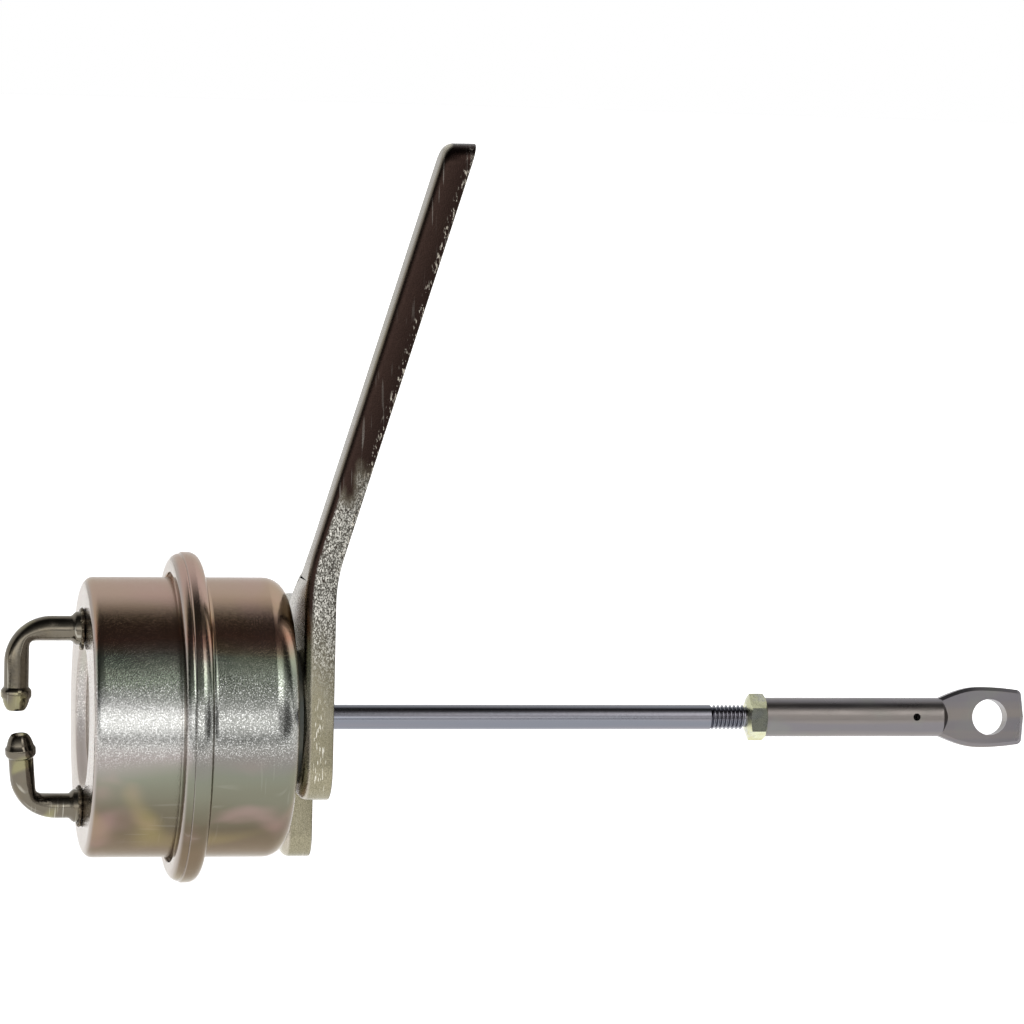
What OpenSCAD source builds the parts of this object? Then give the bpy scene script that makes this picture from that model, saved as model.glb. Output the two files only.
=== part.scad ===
// Wastegate actuator: a crimped diaphragm canister on a bent plate bracket,
// with a sliding rod that ends in a lock nut and a flattened eye.
// The rod axis is X, the rod leaves towards +X, and Z is up along the bracket leg.
// X = 0 is the bracket's front face. All lengths are in millimetres.

/* [Canister] */
// Outside diameter of both drawn cans
can_d = 67.2; // [64:0.1:76]
// Sheet thickness of both cans
can_wall = 1.2; // [0.8:0.05:1.5]
// Length of the cover can from its flange to its end face
cover_len = 21.8; // [20:0.1:32]
// Length of the base can from its front face to the crimp
base_len = 21.0; // [19:0.1:30]
// Outside corner radius of the cover can
cover_corner = 2.4; // [1.8:0.1:5]
// Outside corner radius of the base can's front shoulder
base_corner = 5.6; // [3:0.1:7]
// Diameter of the dished recess in the cover's end face
recess_d = 34; // [26:0.5:38]
// Depth of the dished recess
recess_depth = 2.2; // [1:0.1:3]
// Diameter of the raised pad that meets the bracket
pad_d = 33; // [28:0.5:40]
// Height of the raised pad over the front face
pad_rise = 1.7; // [1:0.1:3]

/* [Crimp] */
// Height of the rolled curl over the can's side
crimp_w = 6.1; // [5:0.1:9]
// Outside corner radius of the curl
crimp_round = 3.0; // [1.8:0.1:3.4]
// Air between the cover can's side and the curl's lip
lip_gap = 1.1; // [0.6:0.1:1.9]
// Thickness of the diaphragm bead in the crimp
bead_t = 3.4; // [2.6:0.1:5]
// Radius of the bend between each can and its flange
flange_bend = 1.3; // [0.6:0.1:1.6]

/* [Ports] */
// Outside diameter of the port tubes
tube_d = 6.0; // [5.4:0.1:6.6]
// Bore of the port tubes
tube_bore = 3.8; // [3:0.1:4.2]
// Distance of each port from the rod axis
port_offset = 21.4; // [20.5:0.1:24]
// Straight length between the cover face and the upper elbow
upper_run = 7.6; // [5.5:0.1:14]
// Straight length between the cover face and the lower elbow
lower_run = 6.0; // [5.5:0.1:14]
// Centre line radius of the elbows
elbow_r = 8.3; // [5:0.1:9]
// Length from the end of the elbow to the tip of the upper port
upper_leg = 11.4; // [10:0.1:12]
// Length from the end of the elbow to the tip of the lower port
lower_leg = 10.1; // [9:0.1:11.6]
// Bend angle of the lower elbow
lower_bend = 85; // [80:1:90]
// Turn of the lower port about its root
lower_turn = 8; // [0:1:15]
// Diameter of the barb's land
barb_d = 7.4; // [7:0.1:8.5]
// Length of the barb's land
barb_land = 1.6; // [1:0.1:2.4]
// Length of the barb's nose cone
barb_nose = 3.2; // [2:0.1:4]
// Diameter of the barb's tip
barb_tip_d = 4.8; // [4.5:0.1:5.2]
// Diameter of the port's root collar
collar_d = 8.0; // [7.4:0.1:9]
// Length of the port's root collar
collar_len = 2.6; // [1.5:0.1:3.5]
// Width of the braze fillet round the collar
braze_w = 0.9; // [0.5:0.1:1.4]

/* [Bracket] */
// Thickness of the bracket plate
bracket_t = 7.3; // [5:0.1:9]
// Distance from the rod axis to the near edge
near_edge = 16; // [14:0.5:20]
// Distance from the rod axis to the bottom edge of the near lobe
near_drop = 19; // [16:0.5:22]
// Corner radius at the bottom of the near lobe
near_corner = 9; // [4:0.5:10]
// Width of the long leg
leg_w = 9.8; // [7:0.1:12]
// Height of the leg's end over the rod axis
leg_top = 139; // [100:1:160]
// Angle of the leg from the plate
leg_lean = 16.9; // [10:0.1:24]
// Inside radius of the leg's bend
leg_bend_r = 36.5; // [20:0.5:70]
// Height at which the leg's bend starts
bend_start = 29.5; // [24:0.5:34]
// Radius of the neck between the far flange and the leg
neck_r = 9; // [5:0.5:12]
// Distance from the rod axis to the far edge
far_edge = 39; // [38:0.5:46]
// Distance from the rod axis to the far flange's top edge
far_top = 26; // [25:0.5:30]
// Length of the far flange's top edge, from its far side to the neck's slope
flange_top_w = 22; // [16:0.5:25]
// Distance from the rod axis to the foot's near edge
foot_edge = 18.5; // [17:0.5:21]
// Distance from the rod axis to the bottom of the foot
foot_drop = 38; // [35:0.5:42]
// Corner radius of the foot and far flange
foot_corner = 6; // [3:0.5:7]
// Inside corner radius between the near lobe and the foot
inner_corner = 2; // [1:0.5:4]
// Diameter of the bracket's bolt holes
bolt_hole_d = 8.5; // [6.5:0.5:9]
// Distance of the bolt holes from the rod axis across the plate
bolt_y = 30; // [29.5:0.5:31]
// Height of the upper bolt hole over the rod axis
bolt_upper_z = 17; // [10:0.5:17]
// Depth of the lower bolt hole under the rod axis
bolt_lower_z = 27; // [20:0.5:27]

/* [Rod] */
// Diameter of the rod
rod_d = 6.0; // [5:0.1:6.6]
// Distance from the bracket's front face to the start of the thread
thread_start = 95.1; // [85:0.1:110]
// Length of the thread
thread_len = 38; // [32:0.5:44]
// Root diameter of the thread
thread_root_d = 4.8; // [4:0.1:4.9]
// Working stroke of the rod
stroke = 12; // [8:0.5:13]

/* [Lock nut] */
// Width across the flats of the lock nut
nut_flats = 10; // [9:0.1:12]
// Thickness of the lock nut
nut_t = 4.7; // [3:0.1:5]
// Diameter of the flat rear face, inside the deep chamfer
nut_face_d = 6.8; // [6.2:0.1:9]
// Length of the deep chamfer along the axis
nut_chamfer = 0.9; // [0.3:0.1:1.2]
// Visible thread between the rod's shank and the lock nut
nut_gap = 8.3; // [6:0.1:12]

/* [Rod end] */
// Diameter of the rod end's sleeve
sleeve_d = 9.5; // [8.5:0.1:9.9]
// Length of the round sleeve
sleeve_len = 44.2; // [40:0.1:50]
// Length of the cone from the sleeve down to the flattened eye
shoulder_len = 1.5; // [0.8:0.1:3]
// Length of the flattened eye
eye_len = 20.2; // [19:0.1:24]
// Distance that the flat runs back into the sleeve
eye_lap = 1.6; // [0.6:0.1:2.4]
// Turn of the eye's flat about the rod axis
eye_turn = 8; // [0:1:15]
// Height of the flattened eye
eye_h = 14.8; // [13:0.1:17]
// Thickness of the flattened eye
eye_t = 4.9; // [4:0.1:6]
// Length over which the eye widens
eye_flare = 9.6; // [7:0.1:11]
// Height lost towards the eye's end on each side
eye_taper = 0.9; // [0.4:0.1:1.6]
// Bevel along the eye's edges
eye_bevel = 0.9; // [0.4:0.1:1.2]
// Diameter of the eye's hole
eye_hole_d = 8.8; // [6:0.1:9.2]
// Distance from the hole's centre to the eye's end
eye_margin = 8.2; // [7.6:0.1:9]
// Depth of the threaded bore past the centre of the witness hole
bore_past = 2.2; // [1.3:0.1:4]
// Diameter of the witness hole
witness_d = 1.8; // [1:0.1:2.4]
// Distance from the witness hole to the end of the sleeve
witness_back = 6.9; // [5.9:0.1:9]

/* [Diaphragm and piston] */
// Thickness of the rubber diaphragm
rubber_t = 1.0; // [0.7:0.05:1.1]
// Width left between the piston's skirt and the can for the rolling fold
roll_w = 6.4; // [5.9:0.1:7.9]
// Distance left between the skirt and the spring seat's face at full stroke
skirt_stop = 9.7; // [7.7:0.1:12.7]
// Sheet thickness of the piston
piston_wall = 1.5; // [1:0.1:1.8]
// Diameter of the retainer plate
retainer_d = 43; // [34:0.5:46]
// Thickness of the retainer plate
retainer_t = 1.2; // [0.8:0.1:2]
// Diameter of the clamp washer under the rivet head
clamp_d = 18; // [14:0.5:24]
// Thickness of the clamp washer
clamp_t = 1.2; // [0.8:0.1:2]
// Diameter of the washer between the piston and the rod's shoulder
backing_d = 16; // [12:0.5:22]
// Thickness of that washer
backing_t = 2.0; // [1:0.1:3]
// Diameter of the rod's riveted spigot
spigot_d = 4.8; // [4:0.1:4.9]
// Diameter of the rivet head
rivet_d = 10; // [8:0.5:12]
// Height of the rivet head
rivet_h = 1.6; // [1:0.1:2]

/* [Spring] */
// Wire diameter of the spring
wire_d = 3.0; // [2:0.1:3.2]
// Air between the spring and the inside of the piston's skirt
coil_gap = 2.6; // [2:0.1:4]
// Number of working turns
coil_turns = 3.5; // [2.5:0.5:4]
// Width of the spring seat's flat ring
seat_w = 6.2; // [5:0.1:7]
// Sheet thickness of the spring seat
seat_t = 1.0; // [0.6:0.1:1.4]
// Height of the spring seat's locating collar
seat_collar = 4.0; // [2:0.1:6]

/* [Guide] */
// Outside diameter of the guide bush
bush_d = 12; // [10:0.1:13]
// Diameter of the bush's flange inside the base can
bush_flange_d = 22; // [18:0.5:24]
// Thickness of the bush's flange
bush_flange_t = 1.6; // [1:0.1:2.2]
// Diameter of the bush's inner boss
boss_d = 16; // [15:0.1:17.5]
// Length of the bush's inner boss
boss_len = 7.6; // [6:0.1:9]
// Height of the countersink that the bush is swaged into
swage_h = 1.2; // [0.6:0.1:1.5]
// Diameter of the rubber seal
seal_d = 11; // [9:0.1:11.5]
// Thickness of the rubber seal
seal_t = 3.4; // [2:0.1:4]
// Sheet thickness of the seal's retaining cap
cap_t = 0.8; // [0.5:0.1:1]
// Depth of the seal's retaining cap
cap_depth = 3.6; // [2:0.1:4.5]
// Thickness of the gasket between the can and the bracket
gasket_t = 1.0; // [0.5:0.1:2]

/* [Hidden] */
// Radial clearance of a running fit
run_gap = 0.05;
// Radial clearance of a brazed, pressed or swaged fit
seat_gap = 0.02;
// Air left between pieces that only rest near each other
rest_gap = 0.3;
// How far a tube's straight stretch laps over its elbow, and the step there
lap = 0.3;
lap_step = 0.03;
$fn = 96;

can_r = can_d / 2;
can_in = can_r - can_wall;
crimp_r = can_r + crimp_w;
lip_r = can_r + lip_gap;
bevel_in = crimp_round - can_wall;
clamped_r = crimp_r - can_wall - bevel_in;
skirt_r = can_in - roll_w;
coil_r = skirt_r - piston_wall - coil_gap - wire_d / 2;

// Stations along the rod axis, from the bracket's front face towards the cover
x_plate = -bracket_t;
x_pad = x_plate - gasket_t;
x_front = x_pad - pad_rise;
x_curl = x_front - base_len;
x_bead = x_curl - can_wall;
x_flange = x_bead - bead_t;
x_lip = x_flange - can_wall;
x_cover = x_lip - cover_len;
x_recess = x_cover + recess_depth + can_wall;
x_rivet = x_recess + rest_gap;
x_clamp = x_rivet + rivet_h;
x_retainer = x_clamp + clamp_t;
x_rubber = x_retainer + retainer_t;
x_piston = x_rubber + rubber_t;
x_backing = x_piston + piston_wall;
x_shoulder = x_backing + backing_t;
x_front_in = x_front + can_wall;
x_pad_in = x_pad + can_wall;
x_seat = x_front - can_wall;
x_bush = x_pad - can_wall;
x_boss = x_bush - bush_flange_t - boss_len;
x_skirt = x_seat - stroke - skirt_stop;

x_nut = thread_start + nut_gap;
x_sleeve = x_nut + nut_t;
x_eye = x_sleeve + sleeve_len;
x_flat = x_eye - eye_lap;
x_hole = x_eye + eye_len - eye_margin;
x_witness = x_eye - witness_back;
x_rod_tip = thread_start + thread_len;

rod_bore_r = rod_d / 2 + run_gap;
thread_bore_r = thread_root_d / 2 + run_gap;
leg_rise = leg_top - bend_start;

// Turns a half section drawn as [radius, station] about the rod axis
module turned() {
    rotate([0, 90, 0])
        rotate_extrude()
            children();
}

// Rectangle of a half section between two radii and two stations
module band(r0, r1, x0, x1) {
    translate([r0, x0])
        square([r1 - r0, x1 - x0]);
}

// What a rounded outside corner takes off, with the solid on the side that
// side_r and side_x point to
module corner_waste(r, x, radius, side_r, side_x) {
    translate([r, x])
        mirror([side_r < 0 ? 1 : 0, 0])
            mirror([0, side_x < 0 ? 1 : 0])
                difference() {
                    translate([-1, -1])
                        square([radius + 1, radius + 1]);
                    translate([radius, radius])
                        circle(r = radius);
                }
}

// Fillet that fills an inside corner, on the side that side_r and side_x point to
module corner_fill(r, x, radius, side_r, side_x) {
    translate([r, x])
        mirror([side_r < 0 ? 1 : 0, 0])
            mirror([0, side_x < 0 ? 1 : 0])
                difference() {
                    square([radius, radius]);
                    translate([radius, radius])
                        circle(r = radius);
                }
}

// Flat washer or ring about the rod axis
module ring(outer_d, inner_d, x0, thick) {
    translate([x0, 0, 0])
        rotate([0, 90, 0])
            difference() {
                cylinder(d = outer_d, h = thick);
                translate([0, 0, -1])
                    cylinder(d = inner_d, h = thick + 2);
            }
}

module cover_can() {
    slope = recess_depth;
    color("darkkhaki")
        difference() {
            turned()
                difference() {
                    union() {
                        difference() {
                            band(0, can_r, x_cover, x_flange);
                            corner_waste(can_r, x_cover, cover_corner, -1, 1);
                        }
                        band(can_in, clamped_r, x_lip, x_flange);
                        corner_fill(can_r, x_lip, flange_bend, 1, -1);
                    }
                    difference() {
                        band(-1, can_in, x_cover + can_wall, x_flange + 1);
                        corner_waste(can_in, x_cover + can_wall, cover_corner - can_wall, -1, 1);
                        polygon([
                            [-1, x_cover],
                            [recess_d / 2 + can_wall, x_cover],
                            [recess_d / 2 + can_wall, x_cover + can_wall],
                            [recess_d / 2 + can_wall - slope, x_recess],
                            [-1, x_recess]
                        ]);
                    }
                    polygon([
                        [-1, x_cover - 1],
                        [recess_d / 2, x_cover - 1],
                        [recess_d / 2, x_cover],
                        [recess_d / 2 - slope, x_cover + recess_depth],
                        [-1, x_cover + recess_depth]
                    ]);
                }
            port_hole(1);
            port_hole(-1);
        }
}

// Hole for a port's spigot in the cover, on the upper or the lower side
module port_hole(side) {
    translate([x_cover - 1, 0, side * port_offset])
        rotate([0, 90, 0])
            cylinder(r = tube_d / 2 + seat_gap, h = can_wall + 2);
}

module base_can() {
    color("darkkhaki")
        turned()
            difference() {
                union() {
                    difference() {
                        band(0, can_r, x_bead, x_front);
                        corner_waste(can_r, x_front, base_corner, -1, -1);
                    }
                    band(0, pad_d / 2, x_bead, x_pad);
                    corner_fill(can_r, x_curl, flange_bend, 1, 1);
                    difference() {
                        band(can_in, crimp_r, x_lip - can_wall, x_curl);
                        corner_waste(crimp_r, x_curl, crimp_round, -1, -1);
                        corner_waste(crimp_r, x_lip - can_wall, crimp_round, -1, 1);
                    }
                }
                difference() {
                    band(-1, can_in, x_bead - 1, x_seat);
                    corner_waste(can_in, x_seat, base_corner - can_wall, -1, -1);
                }
                band(-1, pad_d / 2 - can_wall, x_bead, x_bush);
                difference() {
                    band(can_in - 1, crimp_r - can_wall, x_lip, x_bead);
                    corner_waste(crimp_r - can_wall, x_bead, bevel_in, -1, -1);
                    corner_waste(crimp_r - can_wall, x_lip, bevel_in, -1, 1);
                }
                band(-1, lip_r, x_lip - can_wall - 1, x_lip + 0.5);
                band(-1, bush_d / 2 + seat_gap, x_bush - 1, x_pad + 1);
            }
}

// Elbow port in its own frame: the root is at the origin and runs along -X,
// and the elbow turns the tube down towards -Z
module port(run, bend, leg) {
    rotate([90, 0, 0])
        difference() {
            union() {
                port_path(run, bend, leg - barb_nose - barb_land, tube_d / 2, can_wall + 1.4);
                rotate([0, -90, 0])
                    cylinder(d = collar_d, h = collar_len);
                port_tip(run, bend)
                    rotate([0, -90, 0])
                        barb(leg);
            }
            port_path(run, bend, leg + 1, tube_bore / 2, can_wall + 3);
        }
}

// Solid of the given radius along the port's centre line. The elbow is drawn a
// hair slimmer than the straight stretches, which lap over its ends.
module port_path(run, bend, leg, radius, inset) {
    translate([inset, 0, 0])
        rotate([0, -90, 0])
            cylinder(r = radius, h = inset + run + lap);
    translate([-run, -elbow_r, 0])
        rotate([0, 0, 90])
            rotate_extrude(angle = bend)
                translate([elbow_r, 0])
                    circle(r = radius - lap_step);
    port_tip(run, bend)
        translate([lap, 0, 0])
            rotate([0, -90, 0])
                cylinder(r = radius, h = leg + lap);
}

// Places its children at the end of the elbow, with the tube leaving along -X
module port_tip(run, bend) {
    translate([-run, -elbow_r, 0])
        rotate([0, 0, bend])
            translate([0, elbow_r, 0])
                children();
}

// Hose barb on the last stretch of the leg
module barb(leg) {
    back = 0.6;
    base = leg - barb_nose - barb_land;
    rotate_extrude()
        polygon([
            [0, base - back],
            [tube_d / 2 - 0.01, base - back],
            [barb_d / 2, base],
            [barb_d / 2, base + barb_land],
            [barb_tip_d / 2 + 0.25, leg - 0.5],
            [barb_tip_d / 2 - 0.15, leg],
            [0, leg]
        ]);
}

module place_upper() {
    translate([x_cover, 0, port_offset])
        children();
}

module place_lower() {
    translate([x_cover, 0, -port_offset])
        rotate([lower_turn, 0, 0])
            mirror([0, 0, 1])
                children();
}

module upper_port() {
    color("gray")
        place_upper()
            port(upper_run, 90, upper_leg);
}

module lower_port() {
    color("gray")
        place_lower()
            port(lower_run, lower_bend, lower_leg);
}

// Braze fillet between a port's collar and the cover's face
module braze() {
    rotate([0, -90, 0])
        rotate_extrude()
            difference() {
                translate([collar_d / 2 + seat_gap, 0])
                    square([braze_w, braze_w]);
                translate([collar_d / 2 + seat_gap + braze_w, braze_w])
                    circle(r = braze_w - 0.12);
            }
}

module upper_braze() {
    color("goldenrod")
        place_upper()
            braze();
}

module lower_braze() {
    color("goldenrod")
        place_lower()
            braze();
}

// Points of an arc about a centre
function arc(cy, cz, radius, a0, a1, steps = 10) = [
    for (i = [0 : steps])
        let (a = a0 + (a1 - a0) * i / steps)
            [cy + radius * cos(a), cz + radius * sin(a)]
];

// The bracket's blank, drawn as [across, up] and seen along the rod axis
module bracket_blank() {
    leg_far = leg_w - near_edge;
    tip_r = leg_w / 2 - 0.4;
    polygon(concat(
        arc(-near_edge + near_corner, -near_drop + near_corner, near_corner, 180, 270),
        arc(foot_edge - inner_corner, -near_drop - inner_corner, inner_corner, 90, 0, 4),
        arc(foot_edge + foot_corner, -foot_drop + foot_corner, foot_corner, 180, 270),
        arc(far_edge - foot_corner, -foot_drop + foot_corner, foot_corner, 270, 360),
        arc(far_edge - foot_corner, far_top - foot_corner, foot_corner, 0, 90),
        [[far_edge - flange_top_w, far_top]],
        arc(leg_far + neck_r, far_top + 2 * neck_r, neck_r, 250, 180),
        arc(leg_far - tip_r, leg_top - tip_r, tip_r, 0, 90),
        arc(-near_edge + tip_r, leg_top - tip_r, tip_r, 90, 180)
    ));
}

// Side profile of the bent strip, drawn as [along the rod, up]
module bracket_profile() {
    inner = arc(leg_bend_r, bend_start, leg_bend_r, 180, 180 - leg_lean);
    outer = arc(leg_bend_r, bend_start, leg_bend_r + bracket_t, 180 - leg_lean, 180);
    reach = (leg_rise + bracket_t) / cos(leg_lean);
    polygon(concat(
        [[-bracket_t, -foot_drop - bracket_t], [0, -foot_drop - bracket_t]],
        inner,
        [
            inner[10] + reach * [sin(leg_lean), cos(leg_lean)],
            outer[0] + reach * [sin(leg_lean), cos(leg_lean)]
        ],
        outer
    ));
}

module bracket() {
    color("dimgray")
        difference() {
            intersection() {
                translate([0, far_edge + bracket_t, 0])
                    rotate([90, 0, 0])
                        linear_extrude(far_edge + near_edge + 2 * bracket_t)
                            bracket_profile();
                translate([-2 * bracket_t, 0, 0])
                    rotate([90, 0, 90])
                        linear_extrude(leg_top + bracket_t)
                            bracket_blank();
            }
            translate([x_plate - 1, 0, 0])
                rotate([0, 90, 0])
                    cylinder(r = bush_d / 2 + seat_gap, h = bracket_t + 2);
            turned()
                polygon([
                    [0, -swage_h],
                    [bush_d / 2 + seat_gap, -swage_h],
                    [bush_d / 2 + seat_gap + swage_h, 0],
                    [bush_d / 2 + seat_gap + swage_h, 1],
                    [0, 1]
                ]);
            bolt_hole(bolt_upper_z);
            bolt_hole(-bolt_lower_z);
        }
}

module bolt_hole(z) {
    translate([x_plate - 1, bolt_y, z])
        rotate([0, 90, 0])
            cylinder(d = bolt_hole_d, h = bracket_t + 2);
}

module gasket() {
    color("darkslategray")
        ring(pad_d - 1, bush_d + 2 * seat_gap, x_pad, gasket_t);
}

module guide_bush() {
    lip = bush_d / 2 + swage_h - seat_gap;
    color("peru")
        turned()
            difference() {
                union() {
                    band(0, boss_d / 2, x_boss, x_bush);
                    band(0, bush_flange_d / 2, x_bush - bush_flange_t, x_bush);
                    band(0, bush_d / 2, x_bush - 0.5, 0);
                    polygon([[0, -swage_h + seat_gap], [bush_d / 2, -swage_h + seat_gap], [lip, 0], [0, 0]]);
                }
                band(-1, rod_bore_r, x_boss - 1, 1);
                band(-1, seal_d / 2 + seat_gap, x_boss - 1, x_boss + seal_t);
            }
}

module rod_seal() {
    color("black")
        ring(seal_d, 2 * rod_bore_r, x_boss, seal_t);
}

module seal_cap() {
    cap_r = boss_d / 2 + seat_gap;
    color("silver")
        turned()
            difference() {
                band(0, cap_r + cap_t, x_boss - cap_t, x_boss + cap_depth);
                band(-1, cap_r, x_boss, x_boss + cap_depth + 1);
                band(-1, rod_d / 2 + 1, x_boss - cap_t - 1, x_boss + 1);
            }
}

module spring_seat() {
    seat_r = coil_r - wire_d / 2 - seat_t - rest_gap;
    color("lightgray")
        turned() {
            band(seat_r, seat_r + seat_w, x_seat - seat_t, x_seat);
            band(seat_r, seat_r + seat_t, x_seat - seat_t - seat_collar, x_seat);
        }
}

// Station of the wire's centre after a number of turns, closed at both ends
function coil_x(turn, x0, x1) =
    turn < 1 ? x0 + wire_d * turn
    : turn > coil_turns + 1 ? x1 - wire_d * (coil_turns + 2 - turn)
    : x0 + wire_d + (x1 - x0 - 2 * wire_d) * (turn - 1) / coil_turns;

module main_spring() {
    sides = 10;
    per_turn = 24;
    turns = coil_turns + 2;
    rings = turns * per_turn;
    x0 = x_backing + wire_d / 2 + 0.02;
    x1 = x_seat - seat_t - wire_d / 2 - 0.02;
    points = [
        for (i = [0 : rings])
            let (a = 360 * i / per_turn, x = coil_x(i / per_turn, x0, x1))
                for (j = [0 : sides - 1])
                    let (
                        b = 360 * j / sides,
                        r = coil_r + wire_d / 2 * cos(b)
                    )
                        [x + wire_d / 2 * sin(b), r * cos(a), r * sin(a)]
    ];
    walls = [
        for (i = [0 : rings - 1])
            for (j = [0 : sides - 1])
                let (k = (j + 1) % sides)
                    [i * sides + j, i * sides + k, (i + 1) * sides + k, (i + 1) * sides + j]
    ];
    caps = [
        [for (j = [0 : sides - 1]) sides - 1 - j],
        [for (j = [0 : sides - 1]) rings * sides + j]
    ];
    color("steelblue")
        polyhedron(points = points, faces = concat(walls, caps), convexity = 12);
}

// Rolling diaphragm: clamped bead, half-round convolution, sleeve and crown
module diaphragm() {
    sleeve_in = skirt_r + rest_gap;
    leg_out = can_in - rest_gap;
    mid = (sleeve_in + leg_out) / 2;
    half = (leg_out - sleeve_in) / 2;
    color("saddlebrown")
        turned()
            difference() {
                union() {
                    band(can_in - rest_gap - rubber_t, clamped_r, x_flange, x_bead);
                    band(leg_out - rubber_t, leg_out, x_flange, x_curl);
                    band(sleeve_in, sleeve_in + rubber_t, x_rubber + 1, x_curl);
                    band(spigot_d / 2 + rest_gap, sleeve_in + rubber_t, x_rubber, x_piston);
                    intersection() {
                        band(sleeve_in, leg_out, x_curl, x_curl + half + 1);
                        difference() {
                            translate([mid, x_curl])
                                circle(r = half);
                            translate([mid, x_curl])
                                circle(r = half - rubber_t);
                        }
                    }
                }
                corner_waste(sleeve_in + rubber_t, x_rubber, rubber_t, -1, 1);
            }
}

module retainer_plate() {
    color("silver")
        ring(retainer_d, spigot_d + 2 * seat_gap, x_retainer, retainer_t);
}

module piston() {
    color("lightsteelblue")
        turned()
            difference() {
                band(0, skirt_r, x_piston, x_skirt);
                corner_waste(skirt_r, x_piston, piston_wall + 0.6, -1, 1);
                difference() {
                    band(-1, skirt_r - piston_wall, x_backing, x_skirt + 1);
                    corner_waste(skirt_r - piston_wall, x_backing, 0.6, -1, 1);
                }
                band(-1, spigot_d / 2 + seat_gap, x_piston - 1, x_backing + 1);
            }
}

module clamp_washer() {
    color("gray")
        ring(clamp_d, spigot_d + 2 * seat_gap, x_clamp, clamp_t);
}

module backing_washer() {
    color("gray")
        ring(backing_d, spigot_d + 2 * seat_gap, x_backing, backing_t);
}

module rod() {
    relief = (rod_d - thread_root_d) / 2;
    color("gainsboro")
        turned()
            union() {
                difference() {
                    band(0, rivet_d / 2, x_rivet, x_clamp);
                    corner_waste(rivet_d / 2, x_rivet, rivet_h * 0.7, -1, 1);
                }
                band(0, spigot_d / 2, x_rivet + 0.2, x_shoulder);
                band(0, rod_d / 2, x_shoulder, thread_start - relief);
                polygon([
                    [0, thread_start - relief],
                    [rod_d / 2, thread_start - relief],
                    [thread_root_d / 2, thread_start],
                    [0, thread_start]
                ]);
                band(0, thread_root_d / 2, thread_start - 0.1, x_rod_tip - 0.6);
                polygon([
                    [0, x_rod_tip - 0.6],
                    [thread_root_d / 2, x_rod_tip - 0.6],
                    [thread_root_d / 2 - 0.6, x_rod_tip],
                    [0, x_rod_tip]
                ]);
            }
}

module lock_nut() {
    across = nut_flats / cos(30);
    chamfer = (across - nut_flats) / 2 * 1.15;
    color("palegoldenrod")
        difference() {
            intersection() {
                translate([x_nut, 0, 0])
                    rotate([0, 90, 0])
                        cylinder(d = across, h = nut_t, $fn = 6);
                turned()
                    polygon([
                        [0, x_nut],
                        [nut_face_d / 2, x_nut],
                        [across / 2, x_nut + nut_chamfer],
                        [across / 2, x_sleeve - chamfer * tan(30)],
                        [across / 2 - chamfer, x_sleeve],
                        [0, x_sleeve]
                    ]);
            }
            translate([x_nut - 1, 0, 0])
                rotate([0, 90, 0])
                    cylinder(r = thread_bore_r, h = nut_t + 2);
        }
}

// Half height at which the bevelled flat starts, inside the round sleeve
eye_root = 0.92 * sqrt(pow(sleeve_d / 2, 2) - pow(eye_t / 2 - eye_bevel, 2));

// Half height of the flattened eye at a distance from the end of the sleeve
function eye_half(u) =
    u < eye_flare
    ? eye_root + (eye_h / 2 - eye_root) * sin(90 * (u + eye_lap) / (eye_flare + eye_lap))
    : eye_h / 2 - eye_taper * pow((u - eye_flare) / (eye_len - eye_flare), 2);

// Outline of the flattened eye, drawn in by a margin all round
module eye_outline(margin) {
    steps = 20;
    bow = 0.5;
    edge_r = 1.4;
    last = eye_len - edge_r;
    upper = [
        for (i = [0 : steps])
            let (u = (last + eye_lap) * i / steps - eye_lap)
                [u, eye_half(u) - margin]
    ];
    nose = [
        for (i = [1 : 5])
            let (a = 90 - 18 * i)
                [
                    last + (edge_r - margin) * cos(a),
                    eye_half(last) - edge_r + (edge_r - margin) * sin(a)
                ]
    ];
    side = concat(upper, nose);
    back = [for (i = [0 : len(side) - 1]) let (p = side[len(side) - 1 - i]) [p[0], -p[1]]];
    polygon(concat(side, [[eye_len + bow - margin, 0]], back));
}

module eye_slab(thick, margin) {
    translate([x_eye, thick / 2, 0])
        rotate([90, 0, 0])
            linear_extrude(thick)
                eye_outline(margin);
}

// Round sleeve with the cone that runs down into the flattened eye
module sleeve() {
    slope = (sleeve_d - eye_t) / 2 / shoulder_len;
    sunk = 0.5;
    x_end = x_eye + shoulder_len + sunk / slope;
    turned()
        polygon([
            [0, x_sleeve],
            [sleeve_d / 2, x_sleeve],
            [sleeve_d / 2, x_eye],
            [eye_t / 2 - sunk, x_end],
            [0, x_end]
        ]);
}

module rod_end() {
    color("lightgray")
        rotate([-eye_turn, 0, 0])
            difference() {
                union() {
                    sleeve();
                    hull() {
                        eye_slab(eye_t - 2 * eye_bevel, 0);
                        eye_slab(eye_t, eye_bevel);
                    }
                }
                translate([x_sleeve - 1, 0, 0])
                    rotate([0, 90, 0])
                        cylinder(r = thread_bore_r, h = x_witness + bore_past - x_sleeve + 1);
                translate([x_hole, eye_t / 2 + 1, 0])
                    rotate([90, 0, 0])
                        cylinder(d = eye_hole_d, h = eye_t + 2);
                translate([x_witness, 0, 0])
                    rotate([90, 0, 0])
                        cylinder(d = witness_d, h = sleeve_d);
            }
}

cover_can();
base_can();
upper_port();
upper_braze();
lower_port();
lower_braze();
bracket();
gasket();
guide_bush();
rod_seal();
seal_cap();
spring_seat();
main_spring();
diaphragm();
retainer_plate();
piston();
clamp_washer();
backing_washer();
rod();
lock_nut();
rod_end();
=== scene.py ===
"""Finishes, screw thread, rolled edges and stage of a wastegate actuator."""

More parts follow.
